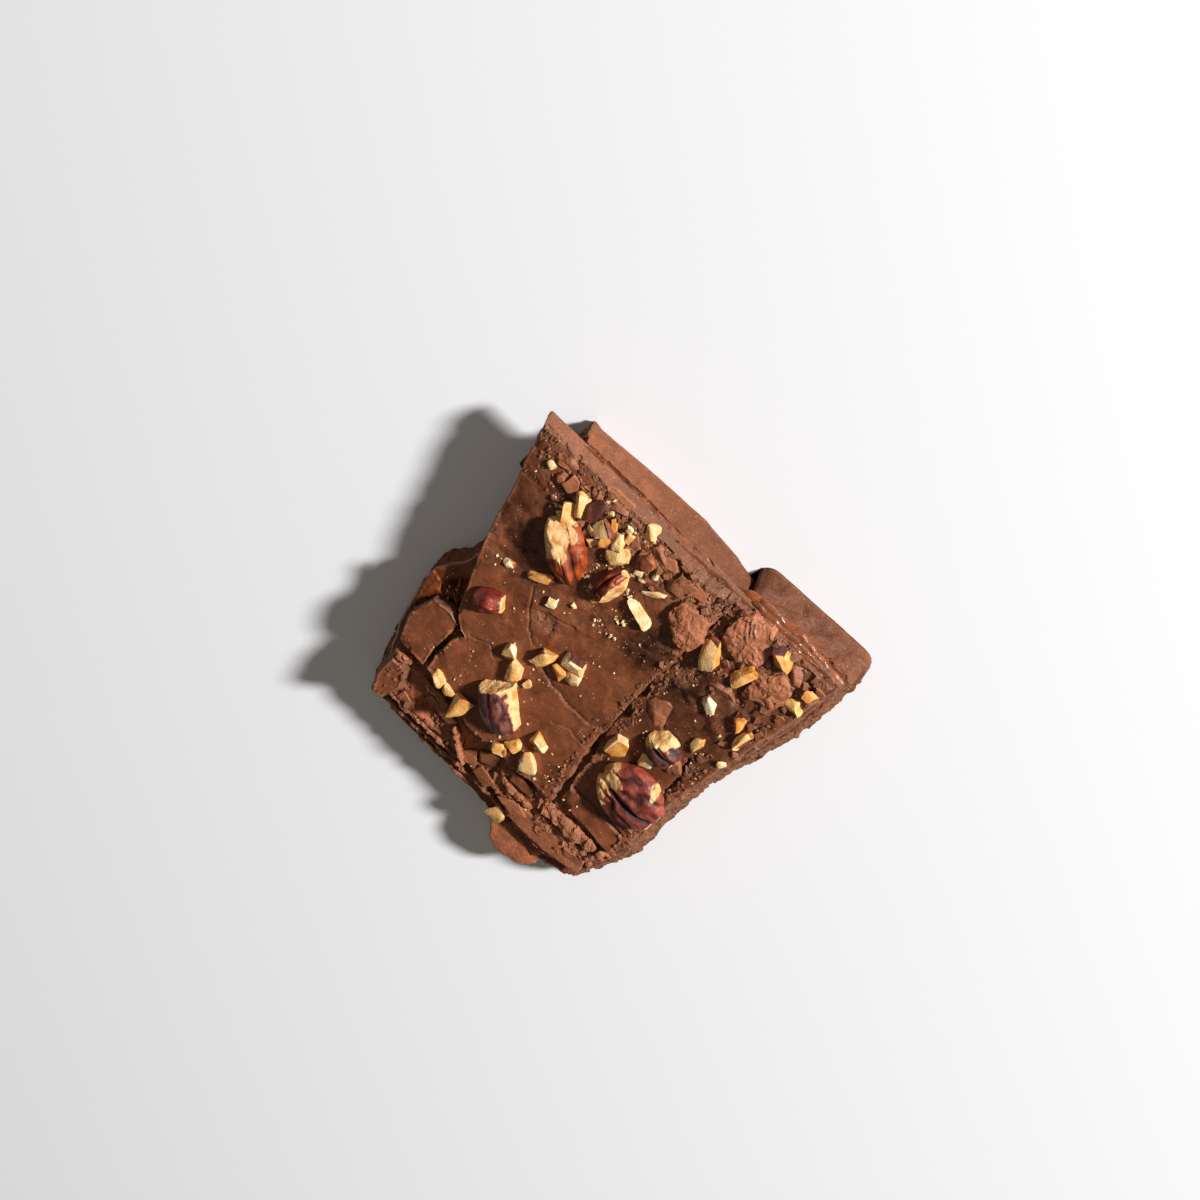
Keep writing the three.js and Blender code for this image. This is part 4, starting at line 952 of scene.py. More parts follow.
# Chopped nuts: plan place, length, width, turn, tone from 0 brown skin through 0.45 toasted to 1 cream, and
# lift
nuts = dict(
    rows=[
        (-4, 39, 6.5, 5, 150, 0.8, 0), (1, 38, 4, 3.5, 60, 0.75, 0), (3.4, 41.4, 4.6, 3.6, 20, 0.7, 0),
        (-3, 32.6, 5, 4.2, 0, 0.74, 0), (17.2, 40.2, 7.6, 5.2, 95, 0.78, 0), (22, 39.6, 4, 2.6, 0, 0.72, 0),
        (26, 39, 4.8, 3.4, -20, 0.66, 0), (13.5, 21.6, 6.5, 4, 110, 0.68, 0),
        (17.5, 18.6, 4.5, 3.5, 120, 0.8, 0), (9, 22.2, 3, 2, 80, 0.75, 0),
        (10.5, 13.6, 7.5, 4.5, 75, 0.66, 0), (5.5, 13.6, 5, 3.5, -10, 0.54, 0),
        (2, 12.1, 4, 3.5, 20, 0.72, 0), (4, 8.6, 6.5, 4.5, 10, 0.8, 0), (18, 0.2, 3.5, 2.5, 110, 0.95, 0),
        (24, -2.8, 7, 2.5, 35, 0.6, 0), (32, 0.7, 3, 2.5, 60, 0.9, 0), (1, -14.3, 8.5, 3, -15, 0.76, 0),
        (40, -27.4, 2.6, 2.2, 0, 0.8, 0), (-17, 18, 5.8, 5.2, 100, 0.72, 0),
        (-24.6, 15.8, 4, 3.2, 20, 0.84, 0), (-30.6, 2.6, 5.6, 3, 85, 0.72, 0),
        (-38, 2, 2.4, 2.2, 0, 0.9, 0), (-26, -8, 4.5, 3.5, -25, 0.94, 0),
        (-37.5, -7.5, 7, 3.5, 95, 0.64, 0), (-34, -10, 5.5, 3.3, 100, 0.52, 0),
        (-17.6, -19, 9.6, 4.8, 118, 0.68, 0), (-27, -20.5, 8, 4, 70, 0.62, 0),
        (-40.4, -23.5, 5, 4, 20, 0.7, 0), (-42, -28.5, 4.6, 3, 0, 0.52, 0),
        (-30.5, -31.5, 6.5, 5.4, 120, 0.5, 0), (-7.5, 60.4, 5.4, 4.4, 70, 0.66, 0),
        (1.5, -20.8, 6.5, 1.4, 42, 0.85, 0), (13.7, -2.8, 1.7, 1.5, 0, 0.85, 0),
        (10.8, -8.1, 3.2, 1.2, 60, 0.55, 0), (29.5, -21.6, 5.8, 4.2, 128, 0.68, 0.4),
        (28.2, -25.2, 7.4, 4.2, 120, 0.74, 0.5), (25, -27.2, 6.4, 3.4, 98, 0.1, 1.3),
        (20.5, -24.5, 5.8, 4.6, 150, 0.78, 0.5), (18.4, -22.6, 4.4, 3.2, 48, 0.5, 0.4),
        (16.1, -24.9, 4.6, 3.2, 128, 0.88, 0.9), (13.7, -21.9, 6.2, 4.2, 48, 0.72, 0.2),
        (19.5, -27.2, 4, 2, 128, 0.55, 0.8), (11.6, -31.7, 4.6, 4.2, 100, 0.72, 0.2),
        (10.5, -28.4, 2.4, 2, 60, 0.64, 0), (16.5, -29, 3, 2.6, 20, 0.92, 0.2),
        (13.4, -25.2, 1.7, 1.5, 0, 0.8, 0), (8.1, -25.8, 5.4, 4.4, 48, 0.16, 0.2),
        (7.7, -22.1, 2.2, 1.8, 30, 0.95, 0), (5.7, -21.2, 2.8, 1.5, 50, 0.94, 0),
        (4.2, -24.1, 2.6, 2, 70, 0.95, 0), (22.6, -22, 3, 2.4, 20, 0.84, 0.2),
        (14.6, -27.4, 3.2, 2.2, 110, 0.6, 0.2),
        (20.4, -19.8, 4, 2, 40, 0.66, 0.2), (21.9, -29.1, 2, 1.4, 60, 0.95, 0.4),
        (28.4, -28.7, 2.2, 1.8, 30, 0.85, 0)],
    high=0.8, middle=0.2, tip=22, cells=11, sharp=(3, 8), uneven=0.42, trims=7, trimAt=(0.55, 0.95),
    corner=38, grit=0.1, gritSize=0.9, gritShift=9, least=0.6, faces=(-0.1, 0.16), skinned=0.45, skin=0.5,
    toasted=0.24, seed=8)


# Chopped boxes tipped and turned, roughened by crumbs, each face in a tone of its own, with skin on some
def makeNuts():
    x, y, length, width, turn, tone, lift = np.array(nuts["rows"], float).T
    count = len(x)
    draws = np.random.default_rng(nuts["seed"])
    solids, quads, face = choppedBoxes(count, nuts, draws)
    half = np.stack([length, width, nuts["high"] * width], 1) / 2
    places = turned(solids * half[:, None], draws.uniform(-nuts["tip"], nuts["tip"], count), turn)
    shifted = places[..., 0] + nuts["gritShift"] * x[:, None]
    grit = crumble(shifted, places[..., 1], places[..., 2], nuts["gritSize"], 3)
    places *= 1 + nuts["grit"] * grit[..., None] / np.maximum(half.min(1), nuts["least"])[:, None, None]
    places += np.stack([x, y, groundAt(x, y) + nuts["middle"] * 2 * half[:, 2] + lift], 1)[:, None]
    faceTone = draws.uniform(*nuts["faces"], (count, 6))
    hasSkin = draws.uniform(0, 1, count) < nuts["skinned"]
    faceTone[np.arange(count), draws.integers(0, 4, count)] -= nuts["skin"] * hasSkin
    faceTone[np.arange(count), draws.integers(0, 6, count)] -= nuts["toasted"]
    layers = dict(tone=tone[:, None] + faceTone[:, face])
    return joinedPiece("choppedNuts", places, quads, noTriangles, nutMeat, layers, nuts["corner"])


choppedNuts = makeNuts()

# Lumps of broken chocolate on the plates: plan place, plan size, turn and rise; pale paints them lighter,
# partly as paler broken chocolate and partly as painted light
lumps = dict(
    rows=[
        (-36.5, -29.5, 10, 6, 0, 1.6), (-3, -27, 10, 6, 10, 1.4), (6, -28.6, 8, 5, -15, 1.3),
        (23, -30.6, 9, 4, 5, 1.3), (35, -27, 6, 5, 40, 1.4), (38, -31, 8, 3.6, 0, 1.1),
        (-26, -13, 9, 6, 15, 1.2), (-18, 4, 7, 9, 0, 0.9), (-30.6, 12.4, 5, 6, 20, 1.4)],
    rings=40, around=64, cuts=9, cutAt=(0.55, 1.0), limit=1.2, sharp=26, rough=0.2, facet=0.16, grainSize=2.0,
    flat=0.7, under=1, sunk=1.1, torn=0.56, tornRough=0.5, pale=0.5, seed=21)


# Chopped solids half sunk in the plates, their surface pushed outwards by crumbs and chunks
def makeLumps():
    x, y, length, width, turn, rise = np.array(lumps["rows"], float).T
    solids = choppedSolids(len(x), lumps, np.random.default_rng(lumps["seed"]))
    half = np.stack([length / 2, width / 2, rise + lumps["under"]], 1)
    places = turned(solids * half[:, None], 0 * turn, turn)
    px, py, pz = places[..., 0] + x[:, None], places[..., 1] + y[:, None], places[..., 2]
    rough = lumps["rough"] * crumble(px, py, pz, lumps["grainSize"], 5)
    facet = lumps["facet"] * chunkRelief(px + 0.6 * pz, py + 0.5 * pz, lumps["grainSize"], 91)[0]
    outward = solids / np.linalg.norm(solids, axis=-1, keepdims=True)
    places += outward * (rough + facet)[..., None] * np.array([1, 1, lumps["flat"]])
    places += np.stack([x, y, groundAt(x, y) - lumps["sunk"]], 1)[:, None]
    layer = np.clip(lumps["torn"] + lumps["tornRough"] * rough, 0.2, 1)
    return joinedPiece("brokenLumps", places, *ballFaces(lumps["rings"], lumps["around"]), chocolate,
                       dict(broken=layer, paintedShadingAndTone=0 * layer - lumps["pale"]))


brokenLumps = makeLumps()

# Splinters: two plan ends, level of the middle at each end, width and height; pale paints the chocolate
# splinters lighter, painted light, and leaves the rails and strands as they are
shards = dict(along=64, around=24, square=10, rough=0.24, facet=0.3, waver=0.2, blunt=12, pale=0.85,
              torn=0.72, rows=[
    (-13.8, 46.8, -31, 46.2, 11.8, 11.7, 3.4, 2.7), (-15, 50.9, -31.6, 50.1, 11.0, 11.0, 2.4, 1.6),
    (15.2, 47.6, 7.0, 54.9, 12.0, 11.6, 0.6, 2.6),
    (7.6, 54.8, 31.8, 54.6, 10.7, 10.8, 0.8, 1.4), (2, 57.2, 33, 57.4, 9.2, 9.4, 0.8, 1.1),
    (30, 59.0, 2, 59.8, 8.4, 8.4, 0.6, 0.8), (-2, 49.6, -12.6, 50.4, 11.6, 11.6, 1.4, 1.9),
    (29, 43.6, 17, 45.0, 11.8, 11.8, 1.8, 1.8), (-11, 57.6, -24, 58.0, 9.9, 9.7, 1.6, 1.3),
    (-33.2, 45, -30.4, 50.4, 11.7, 11.5, 1.5, 2.2), (33, 42.6, 38.4, 43.2, 11.8, 11.8, 2.0, 2.6),
    (4, 56.4, -10, 58.4, 9.6, 9.4, 0.9, 1.2)])
rails = dict(along=150, around=14, square=3, rough=0.16, facet=0.0, waver=0.45, blunt=5, pale=0.0, torn=0.3,
             wet=1.0, rows=[
    (-15.6, -36, -42, -35.5, 9.4, 9.3, 2.3, 1.7), (-16.4, -35, -40.6, -34.7, 10.4, 10.2, 1.9, 1.5),
    (-18, -34.2, -38, -34.2, 11.3, 11.0, 1.5, 1.4), (-2, -34.6, -14, -34.4, 9.3, 9.3, 1.0, 1.2)])
strands = dict(along=60, around=14, square=3, rough=0.18, facet=0.08, waver=0.4, blunt=5, pale=0.0, torn=0.3,
               rows=[
    (44, 22, 42.2, 31.4, 10.2, 10.6, 1.0, 1.0), (39, 15, 35.4, 21.6, 9.8, 10.4, 0.6, 0.6),
    (42.8, 22.4, 38.4, 22.8, 10.6, 11.2, 0.6, 0.7), (38.4, 19.6, 34.4, 22, 10.0, 10.8, 0.6, 0.8)])


# How every splinter narrows, wavers and breaks
splinter = dict(narrow=0.25, tip=0.02, uneven=0.7, unevenLong=2.4, driftLong=2.6, driftMost=1.5,
                roughSize=1.3, facetSize=1.5, facetTall=1.3, facetEnd=1.4)


# A splinter: a box-like section carried along a line, narrowing to both ends, wavering and roughened all over
def makeShards(name, form, material):
    x0, y0, x1, y1, z0, z1, wide, tall = [v[:, None, None] for v in np.array(form["rows"], float).T]
    t = np.linspace(-1, 1, form["along"])[None, :, None]
    turn = np.linspace(0, 2 * math.pi, form["around"], endpoint=False)[None, None, :]
    length = np.hypot(x1 - x0, y1 - y0)
    wayX, wayY = (x1 - x0) / length, (y1 - y0) / length
    taper = (1 - np.abs(t) ** form["blunt"]) ** 0.5 * (1 - splinter["narrow"] * t * t) + splinter["tip"]
    power = form["square"]
    square = (np.abs(np.cos(turn)) ** power + np.abs(np.sin(turn)) ** power) ** (-1 / power)
    along = t * length / 2 + 0 * turn
    uneven = 1 + splinter["uneven"] * form["waver"] * noise(along / splinter["unevenLong"], 0 * along, x0)
    drift = form["waver"] * np.minimum(wide, splinter["driftMost"])
    drift = drift * noise(along / splinter["driftLong"], 0 * along, x0 + 5)
    across = np.cos(turn) * square * taper * uneven * wide / 2 + drift
    rise = np.sin(turn) * square * taper * uneven * tall / 2
    middleZ = (z0 + z1) / 2 + t * (z1 - z0) / 2
    rough = form["rough"] * crumble(along + 7 * x0, across, rise, splinter["roughSize"], 4)
    facet = chunkRelief(along + 3 * x0, rise * splinter["facetTall"] + across, splinter["facetSize"], 101)[0]
    facet = form["facet"] * facet * np.minimum(1, taper * splinter["facetEnd"])
    across = across + (rough + facet) * np.cos(turn)
    rise = rise + (rough + facet) * np.sin(turn)
    x = (x0 + x1) / 2 + along * wayX - across * wayY
    y = (y0 + y1) / 2 + along * wayY + across * wayX
    places = np.stack([x, y, middleZ + rise], -1).reshape(len(x0), -1, 3)
    n = form["around"]
    tips = np.stack([places[:, :n].mean(1), places[:, -n:].mean(1)], 1)
    places = np.concatenate([places, tips], 1)
    values = dict(broken=form["torn"], wet=form.get("wet", 0.0), paintedShadingAndTone=-form["pale"])
    layers = {key: np.full(places.shape[:2], value) for key, value in values.items()}
    quads = gridQuads(form["along"], n, True)
    return joinedPiece(name, places, quads, endFans(form["along"], n), material, layers)


# Sheets and flakes: thickness, and plan place with height for each corner; pale paints sheets, flakes and
# clods lighter, painted light, and leaves the caramel patches as they are
sheets = dict(points=96, topRows=5, rough=0.22, uneven=0.07, grain=1.5, dome=0.0, pale=0.85, torn=0.42,
              corner=32, rows=[
    (0.9, [(35.3, -26, 15.7), (34.5, -29.7, 15.4), (32.5, -29.2, 15.2), (31.4, -26.6, 15.1),
           (32.7, -25.1, 15.4)]),
    (1.0, [(27.2, -33.6, 14.9), (24.9, -34.6, 14.5), (19, -34.2, 14.4), (19.4, -32.4, 14.8),
           (24.2, -31.6, 15.1)]),
    (0.6, [(29.2, -31.2, 15.0), (23.8, -29.9, 15.3), (23.9, -28.4, 15.4), (28.7, -29.7, 15.1)]),
    (1.0, [(7, -30.4, 14.9), (3, -31.2, 14.6), (1, -29.2, 15.0), (4.6, -27.6, 15.3)]),
    (1.1, [(-3, -30.4, 14.8), (-7.6, -30.8, 14.5), (-8.4, -28.2, 14.9), (-4.4, -27.4, 15.2)]),
    (0.7, [(14, -29.6, 15.0), (11.4, -27.4, 15.3), (13, -26, 15.2), (15.6, -28, 14.9)]),
    (0.6, [(40, -30.6, 15.0), (36.8, -31.6, 14.8), (36.4, -29.8, 15.1), (39, -29, 15.1)]),
    (1.2, [(6.7, 47.7, 12.5), (1.3, 45.1, 12.9), (1.4, 48.6, 12.2), (4.4, 50.3, 12.0)]),
    (0.7, [(11.4, 53.8, 11.3), (6.8, 48.6, 12.0), (4.8, 52.3, 11.5), (7, 54, 11.2)]),
    (0.9, [(24, 45.6, 12.4), (15, 46.2, 12.6), (17, 48.8, 11.9), (25, 47.8, 11.9)]),
    (1.2, [(-3, 45.2, 12.9), (-10, 45.4, 12.7), (-11, 48, 12.1), (-4, 48.4, 12.0)]),
    (0.6, [(-4.4, 54.4, 12.1), (-9.5, 51.9, 12.3), (-12.8, 53.4, 12.1), (-9.8, 55.9, 11.9)]),
    (0.6, [(25, 52.4, 11.5), (30, 50.6, 11.7), (30.6, 53.6, 11.3), (26, 54, 11.2)]),
    (0.6, [(-21.8, 56.9, 10.8), (-24.2, 54.1, 11.6), (-26.6, 56, 11.2), (-24, 58.1, 10.4)]),
    (0.8, [(-2, 53, 11.4), (3.6, 51.2, 11.8), (4.4, 54.6, 11.2), (-0.6, 56, 10.9)]),
    (1.0, [(-5, 53, 11.7), (-13.6, 51.8, 11.7), (-31.2, 51.4, 11.5), (-31.8, 55.6, 11.2), (-22, 57.6, 11.2),
           (-9, 57, 11.3)]),
    (0.7, [(-25, 52.2, 12.1), (-31, 51.4, 11.8), (-31.6, 53.4, 11.4), (-26, 54.2, 11.5)])])
# Clods: painted much lighter by pale, painted light
clods = dict(points=150, topRows=18, rough=0.85, uneven=0.2, chunks=0.14, grain=1.5, dome=0.8,
             ribs=(0.0, 0.1, 0.0), rounded=0.35, pale=1.0, torn=0.55, corner=32, rows=[
    (3.2, [(-4.4, -20.6, 16.2), (-4.6, -24.6, 15.9), (-8.4, -26, 15.7), (-11.8, -24.4, 15.9),
           (-14.2, -20.4, 16.2), (-13.2, -16.2, 16.4), (-9.3, -15.6, 16.4)]),
    (3.0, [(-17.7, -24.9, 14.9), (-16.1, -31.6, 14.6), (-18.6, -34.6, 13.7), (-25.1, -34.4, 13.4),
           (-28.7, -31.5, 13.6), (-28.7, -24.9, 14.3), (-22.9, -22.3, 15.0)]),
    (2.4, [(-30.3, -16.6, 14.2), (-29.9, -23.8, 14.4), (-34, -27.5, 14.2), (-37.7, -24.9, 14.0),
           (-36.8, -18.3, 14.0)])])
patches = dict(points=110, topRows=6, rough=0.2, uneven=0.2, grain=1.5, dome=0.0, pale=0.0, torn=0.42,
               corner=60, rows=[
    (0.8, [(-10.2, 59.6, 8.9), (-16.4, 59, 9.2), (-22.7, 59.2, 9.1), (-21.2, 62.4, 8.6), (-13.5, 61.3, 8.7)]),
    (0.9, [(44.2, 18.4, 12.3), (43.6, 24, 11.7), (42.8, 30.2, 10.9), (41.4, 26.5, 11.2), (39.4, 22.6, 11.3),
           (41.2, 19.6, 12.0)])])
# Rows of a sheet from the middle of its underside to the rim of its top: share of its width, share of its
# depth
sheetEdge = [(0.3, 1), (0.75, 1), (0.96, 1), (0.995, 0.9), (1, 0.62), (1, 0.36), (1, 0.14), (0.985, 0.02)]
# How every sheet is made: rows of its top from rim to middle, how far its teeth are evened out, ragged
# edge, chunks and the rings of the ribs; what lies less than topDepth down is its top
sheetForm = dict(topFrom=0.95, topTo=0.1, topDepth=0.05, even=16, calmIn=(0.6, 1.0), ragged=0.5,
                 raggedSize=1.2, warp=0.4, chunkSize=2.3, smallSize=1.0, small=0.5, slope=1.4, edgeTorn=0.85,
                 ringsFrom=(-40, -44), apart=1.1, wander=1.2, wanderLong=3, ribbed=(-0.5, 0.1), ribLong=5)


# A sheet: a broken outline carried through those rows and then in across its top, where its teeth die away;
# the top lies on the plane that fits the heights of its corners, domed and ribbed by rings round a far
# point
def makeSheets(name, form, material):
    common, n = sheetForm, form["points"]
    shares = np.linspace(0, 1, n, endpoint=False)
    topShares = np.linspace(common["topFrom"], common["topTo"], form["topRows"])
    sheetRows = sheetEdge + [(share, 0.0) for share in topShares]
    shrink, down = [np.array(v, float)[:, None] for v in zip(*sheetRows)]
    onTop = down < common["topDepth"]
    window = n // common["even"]
    solids = []
    for (thick, corners), high in zip(form["rows"], form.get("ribs", [0] * len(form["rows"]))):
        corner = np.array(corners, float)
        turn = np.sum(corner[:, 0] * np.roll(corner[:, 1], -1) - corner[:, 1] * np.roll(corner[:, 0], -1))
        corner = corner if turn > 0 else corner[::-1]
        outline, out = brokenRun(corner[:, :2], shares, True, form["rough"])
        level = np.column_stack([corner[:, :2], np.ones(len(corner))])
        plane = np.linalg.lstsq(level, corner[:, 2], rcond=None)[0]
        middle = outline.mean(0)
        reach = np.linalg.norm(outline - middle, axis=1)
        calm = np.mean([np.roll(reach, k) for k in range(-window, window + 1)], axis=0)
        teeth = (1 - form.get("rounded", 0)) * (reach - calm) * fade(shrink, *common["calmIn"])
        kept = shrink * (calm + teeth) / reach
        x, y = [middle[k] + kept * (outline[:, k] - middle[k]) for k in (0, 1)]
        ragged = crumble(x, y, 2 * down * thick + 0 * x, common["raggedSize"], 3)
        ragged = form["rough"] * common["ragged"] * ragged * ~onTop * (shrink > 0.9)
        x, y = x + ragged * out[:, 0], y + ragged * out[:, 1]
        z = plane[0] * x + plane[1] * y + plane[2] - thick * down
        z += form["uneven"] * crumble(x, y, 3 * down + 0 * x, form["grain"], 3)
        warpX, warpY = [s + common["warp"] * noise(x, y, draw) for s, draw in ((x, 5), (y, 6))]
        chunks = chunkRelief(warpX, warpY, common["chunkSize"], 111, common["slope"])[0]
        chunks = chunks + common["small"] * chunkRelief(x, y, common["smallSize"], 121, common["slope"])[0]
        z += form.get("chunks", 0) * chunks * onTop
        farX, farY = common["ringsFrom"]
        wander = common["wander"] * noise(x / common["wanderLong"], y / common["wanderLong"], 7)
        ring = np.hypot(x - farX, y - farY) + wander
        rib = high * np.sin(2 * math.pi * ring / common["apart"])
        rib = rib * fade(noise(x / common["ribLong"], y / common["ribLong"], 9), *common["ribbed"])
        z += onTop * (form["dome"] * (1 - shrink ** 2) + rib * fade(shrink, 1.0, 0.8))
        loops = np.stack([x, y, z], -1)
        solids.append(np.concatenate([loops.reshape(-1, 3), loops[0].mean(0)[None], loops[-1].mean(0)[None]]))
    depth = np.concatenate([np.repeat(down, n), [1, 0]])
    layer = np.where(depth > common["topDepth"], common["edgeTorn"], form["torn"])
    layer = np.broadcast_to(layer, (len(solids), len(layer)))
    quads, fans = gridQuads(len(sheetRows), n, True), endFans(len(sheetRows), n)
    return joinedPiece(name, np.array(solids), quads, fans, material,
                       dict(broken=layer, paintedShadingAndTone=0 * layer - form["pale"]), form["corner"])


chocolateSheets = makeSheets("chocolateSheets", sheets, chocolate)
chocolateClods = makeSheets("chocolateClods", clods, chocolate)
caramelPatches = makeSheets("caramelPatches", patches, caramel)
chocolateShards = makeShards("chocolateShards", shards, chocolate)
caramelStrands = makeShards("caramelStrands", strands, caramel)
wetRails = makeShards("wetRails", rails, chocolate)
print("nuts, lumps, sheets and shards made")

# Pecan pieces: plan place and height of the middle, sizes, turn and tilt, place and depth of the middle
# groove, depth of the creases, breaks as (normal, share of reach), bare places where the skin has gone,
# each bounded by lines (a, b, c) with a times the lengthwise share plus b times the crosswise share above
# c, and the colours of the skin on the raised wrinkles, of the skin, and of the folds
pecans = [
    dict(at=(24.4, -13.7, 15.0), size=(19.6, 11, 5.0), turn=-40, tilt=10, groove=-0.3, fold=0.22, crease=0.1,
         breaks=[((1, 0, 0.1), 0.8), ((0.25, -0.06, 0.96), 0.67)],
         bare=[[(0, 1, -0.16), (1, 0, -0.16)], [(1, 0.2, 0.5)]], colours=("#a85024", "#843614", "#4c190a")),
    dict(at=(10.5, -14.4, 14.8), size=(12, 6.8, 4.6), turn=84, tilt=10, groove=-0.3, fold=0.16, crease=0.12,
         breaks=[((-1, 0, 0), 0.9), ((1, 0, 0), 0.9), ((0.1, 1, 0.4), 0.66)],
         bare=[[(0, 1, 0.5)]], colours=("#9c4a2c", "#6c2b19", "#2c0e08")),
    dict(at=(29.3, 11.8, 14.9), size=(9.8, 6.5, 4.5), turn=33, tilt=-8, groove=0.15, fold=0.1, crease=0.06,
         breaks=[((-1, 0, 0), 0.74), ((1, 0, 0), 0.76)], bare=[], colours=("#9a3c22", "#742716", "#360e07")),
    dict(at=(10.2, 31.6, 14.9), size=(17, 12.8, 5.2), turn=-45, tilt=8, groove=0.35, fold=0.08, crease=0.07,
         breaks=[((-1, 0, 0), 0.88), ((0.93, 0.04, 0.36), 0.67), ((-0.05, -0.93, 0.36), 0.65)],
         bare=[[(1, -0.4, 0.5)], [(0.1, -1, 0.4)]], colours=("#7a453a", "#4e2521", "#26110f")),
    dict(at=(-27.8, 26.2, 14.0), size=(20.4, 17.2, 5.8), turn=-5, tilt=0, groove=0.1, fold=0.36, crease=0.16,
         breaks=[((-1, 0, 0), 0.82), ((0.86, 0, 0.5), 0.86), ((0.4, 0.05, 0.91), 0.76)],
         bare=[[(1, 0.3, 0.58)], [(-1, 0, 0.15), (1, 0, -0.4), (0, -1, 0.66)]],
         colours=("#a04e3a", "#803325", "#38120c")),
    dict(at=(-25.4, 9.6, 13.9), size=(11, 9.6, 4.4), turn=-14, tilt=-6, groove=0.0, fold=0.22, crease=0.12,
         breaks=[((-1, 0, 0), 0.82), ((0.72, -0.5, 0.45), 0.7)],
         bare=[[(0.8, -0.5, 0.24)]], colours=("#7a3c30", "#4f261e", "#2c130e")),
]
# How every pecan is made: middle groove and creases, lobes and wrinkles, the ragged edge of bare places as
# strength, length and draw, crumbs of the breaks and how the skin peels beside them, and what darkens the
# folds, the dark vein and painted shade together, and pales the raised wrinkles
pecanForm = dict(
    rings=72, around=108, corner=40, belly=0.5, taper=0.12, crest=0.86, most=0.97, lobe=0.13, wobble=0.09,
    grooveWidth=0.13, grooveWander=0.08, creaseWidth=0.13, creaseFrom=(0.1, 0.3), wrinkle=0.16, small=0.6,
    sway=0.35, ragged=[(0.13, 1.2, 1.3), (0.07, 0.5, 2.9)], bareEdge=(-0.015, 0.03), bareSide=(-0.3, 0.0),
    bareSunk=0.12, bareSize=1.1, crumbs=0.18, crumbSize=1.4, peel=0.35, peelLong=1.1,
    peelEdge=(-0.04, 0.06), grooveDark=1.6, creaseDark=3.5, dark=0.2, wrinkleDark=0.2)


# Half nut: a ball stretched to length, width and height, flatter below, with a wandering middle groove,
# creases where a slow noise crosses zero, lobes that swell and pinch and wrinkles drawn out lengthwise;
# each break moves what lies past a crumbled plane back onto it, and the skin ends raggedly beside it and
# round the bare places
def makePecan(number, pecan):
    form = pecanForm
    ball = ballDirections(form["rings"], form["around"])
    u, v, w = ball[:, 2], ball[:, 1], ball[:, 0]
    length, width, height = pecan["size"]
    off = v - pecan["groove"] - form["grooveWander"] * noise(u * 2.4, 0 * u, number * 1.7)
    middle = np.exp(-(np.abs(off) / form["grooveWidth"]) ** 1.5)
    winding = noise(u * 1.3 + 0.5 * v, v * 2.6 - 0.5 * u, number * 4.1)
    creases = bell(winding, form["creaseWidth"]) * fade(np.abs(off), *form["creaseFrom"])
    lobes = form["lobe"] * noise(u * 2.0, v * 2.4, number * 2.3)
    back = np.sqrt(np.clip(w, 0, 1))
    swollen = 1 + form["wobble"] * (noise(u * 1.7, v * 1.7, number * 3.7) - 0.4)
    x = u * length / 2 * swollen * (1 - pecan["fold"] ** 2 * middle * u * u)
    y = v * width / 2 * swollen * (1 - form["taper"] * u * u)
    ragged = waves(x, y, [(strength, long, long, number * draw) for strength, long, draw in form["ragged"]])
    bare = np.zeros(len(ball))
    for lines in pecan["bare"]:
        within = np.min([a * u + b * v - c for a, b, c in lines], axis=0)
        bare = np.maximum(bare, fade(within + ragged, *form["bareEdge"]) * fade(w, *form["bareSide"]))
    ridge = form["crest"] - pecan["fold"] * middle - pecan["crease"] * creases + lobes
    ridge = np.clip(w, 0, 1) * height * ridge
    wrinkle = noise(x / 3.0, y / 0.8, number * 3.1) + form["small"] * noise(x / 1.2, y / 0.5, number + 0.7)
    wrinkle = wrinkle * (1 - bare) + bare * crumble(x, y, 0 * x + number, form["bareSize"], 4)
    ridge = ridge + form["wrinkle"] * wrinkle * back - form["bareSunk"] * bare * back
    z = np.minimum(np.where(w > 0, ridge, w * form["belly"] * height), form["most"] * height)
    y += form["sway"] * noise(x / 2.2, z / 1.6, number * 5.3)
    places = np.stack([x, y, z], 1)
    half = np.array([length / 2, width / 2, height])
    snapped = bare
    for normal, share in pecan["breaks"]:
        normal = np.array(normal, float) / np.linalg.norm(normal)
        px, py, pz = places.T
        crumbs = form["crumbs"] * crumble(px + 3 * number, py, pz, form["crumbSize"], 5)
        past = places @ normal - share * np.linalg.norm(normal * half) - crumbs
        peel = form["peel"] * noise(px / form["peelLong"], py / form["peelLong"], pz + number)
        snapped = np.maximum(snapped, fade(past + peel, *form["peelEdge"]))
        places -= np.maximum(past, 0)[:, None] * normal
    # Darker in the groove and creases, the skin's dark vein with painted shade, and paler on the raised
    # wrinkles
    groove = form["grooveDark"] * min(1, 2 * pecan["fold"]) * middle
    groove = groove + form["creaseDark"] * pecan["crease"] * creases
    groove = groove + form["dark"] - form["wrinkleDark"] * wrinkle
    tilt, turn = math.radians(pecan["tilt"]), math.radians(pecan["turn"])
    rotateX = np.array([[1, 0, 0], [0, math.cos(tilt), -math.sin(tilt)], [0, math.sin(tilt), math.cos(tilt)]])
    rotateZ = np.array([[math.cos(turn), -math.sin(turn), 0], [math.sin(turn), math.cos(turn), 0], [0, 0, 1]])
    places = places @ (rotateZ @ rotateX).T + np.array(pecan["at"])
    quads, triangles = ballFaces(form["rings"], form["around"])
    material = pecanSkin(f"pecanSkin{number}", *pecan["colours"])
    layers = dict(flesh=snapped, groove=np.clip(groove, 0, 1))
    piece = makePiece(f"pecan{number}", places, quads[:, ::-1], triangles[:, ::-1], material, layers,
                      corner=form["corner"])
    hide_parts(f"pecan_{number}")


for n, pecan in enumerate(pecans):
    makePecan(n + 1, pecan)
print("pecans made")

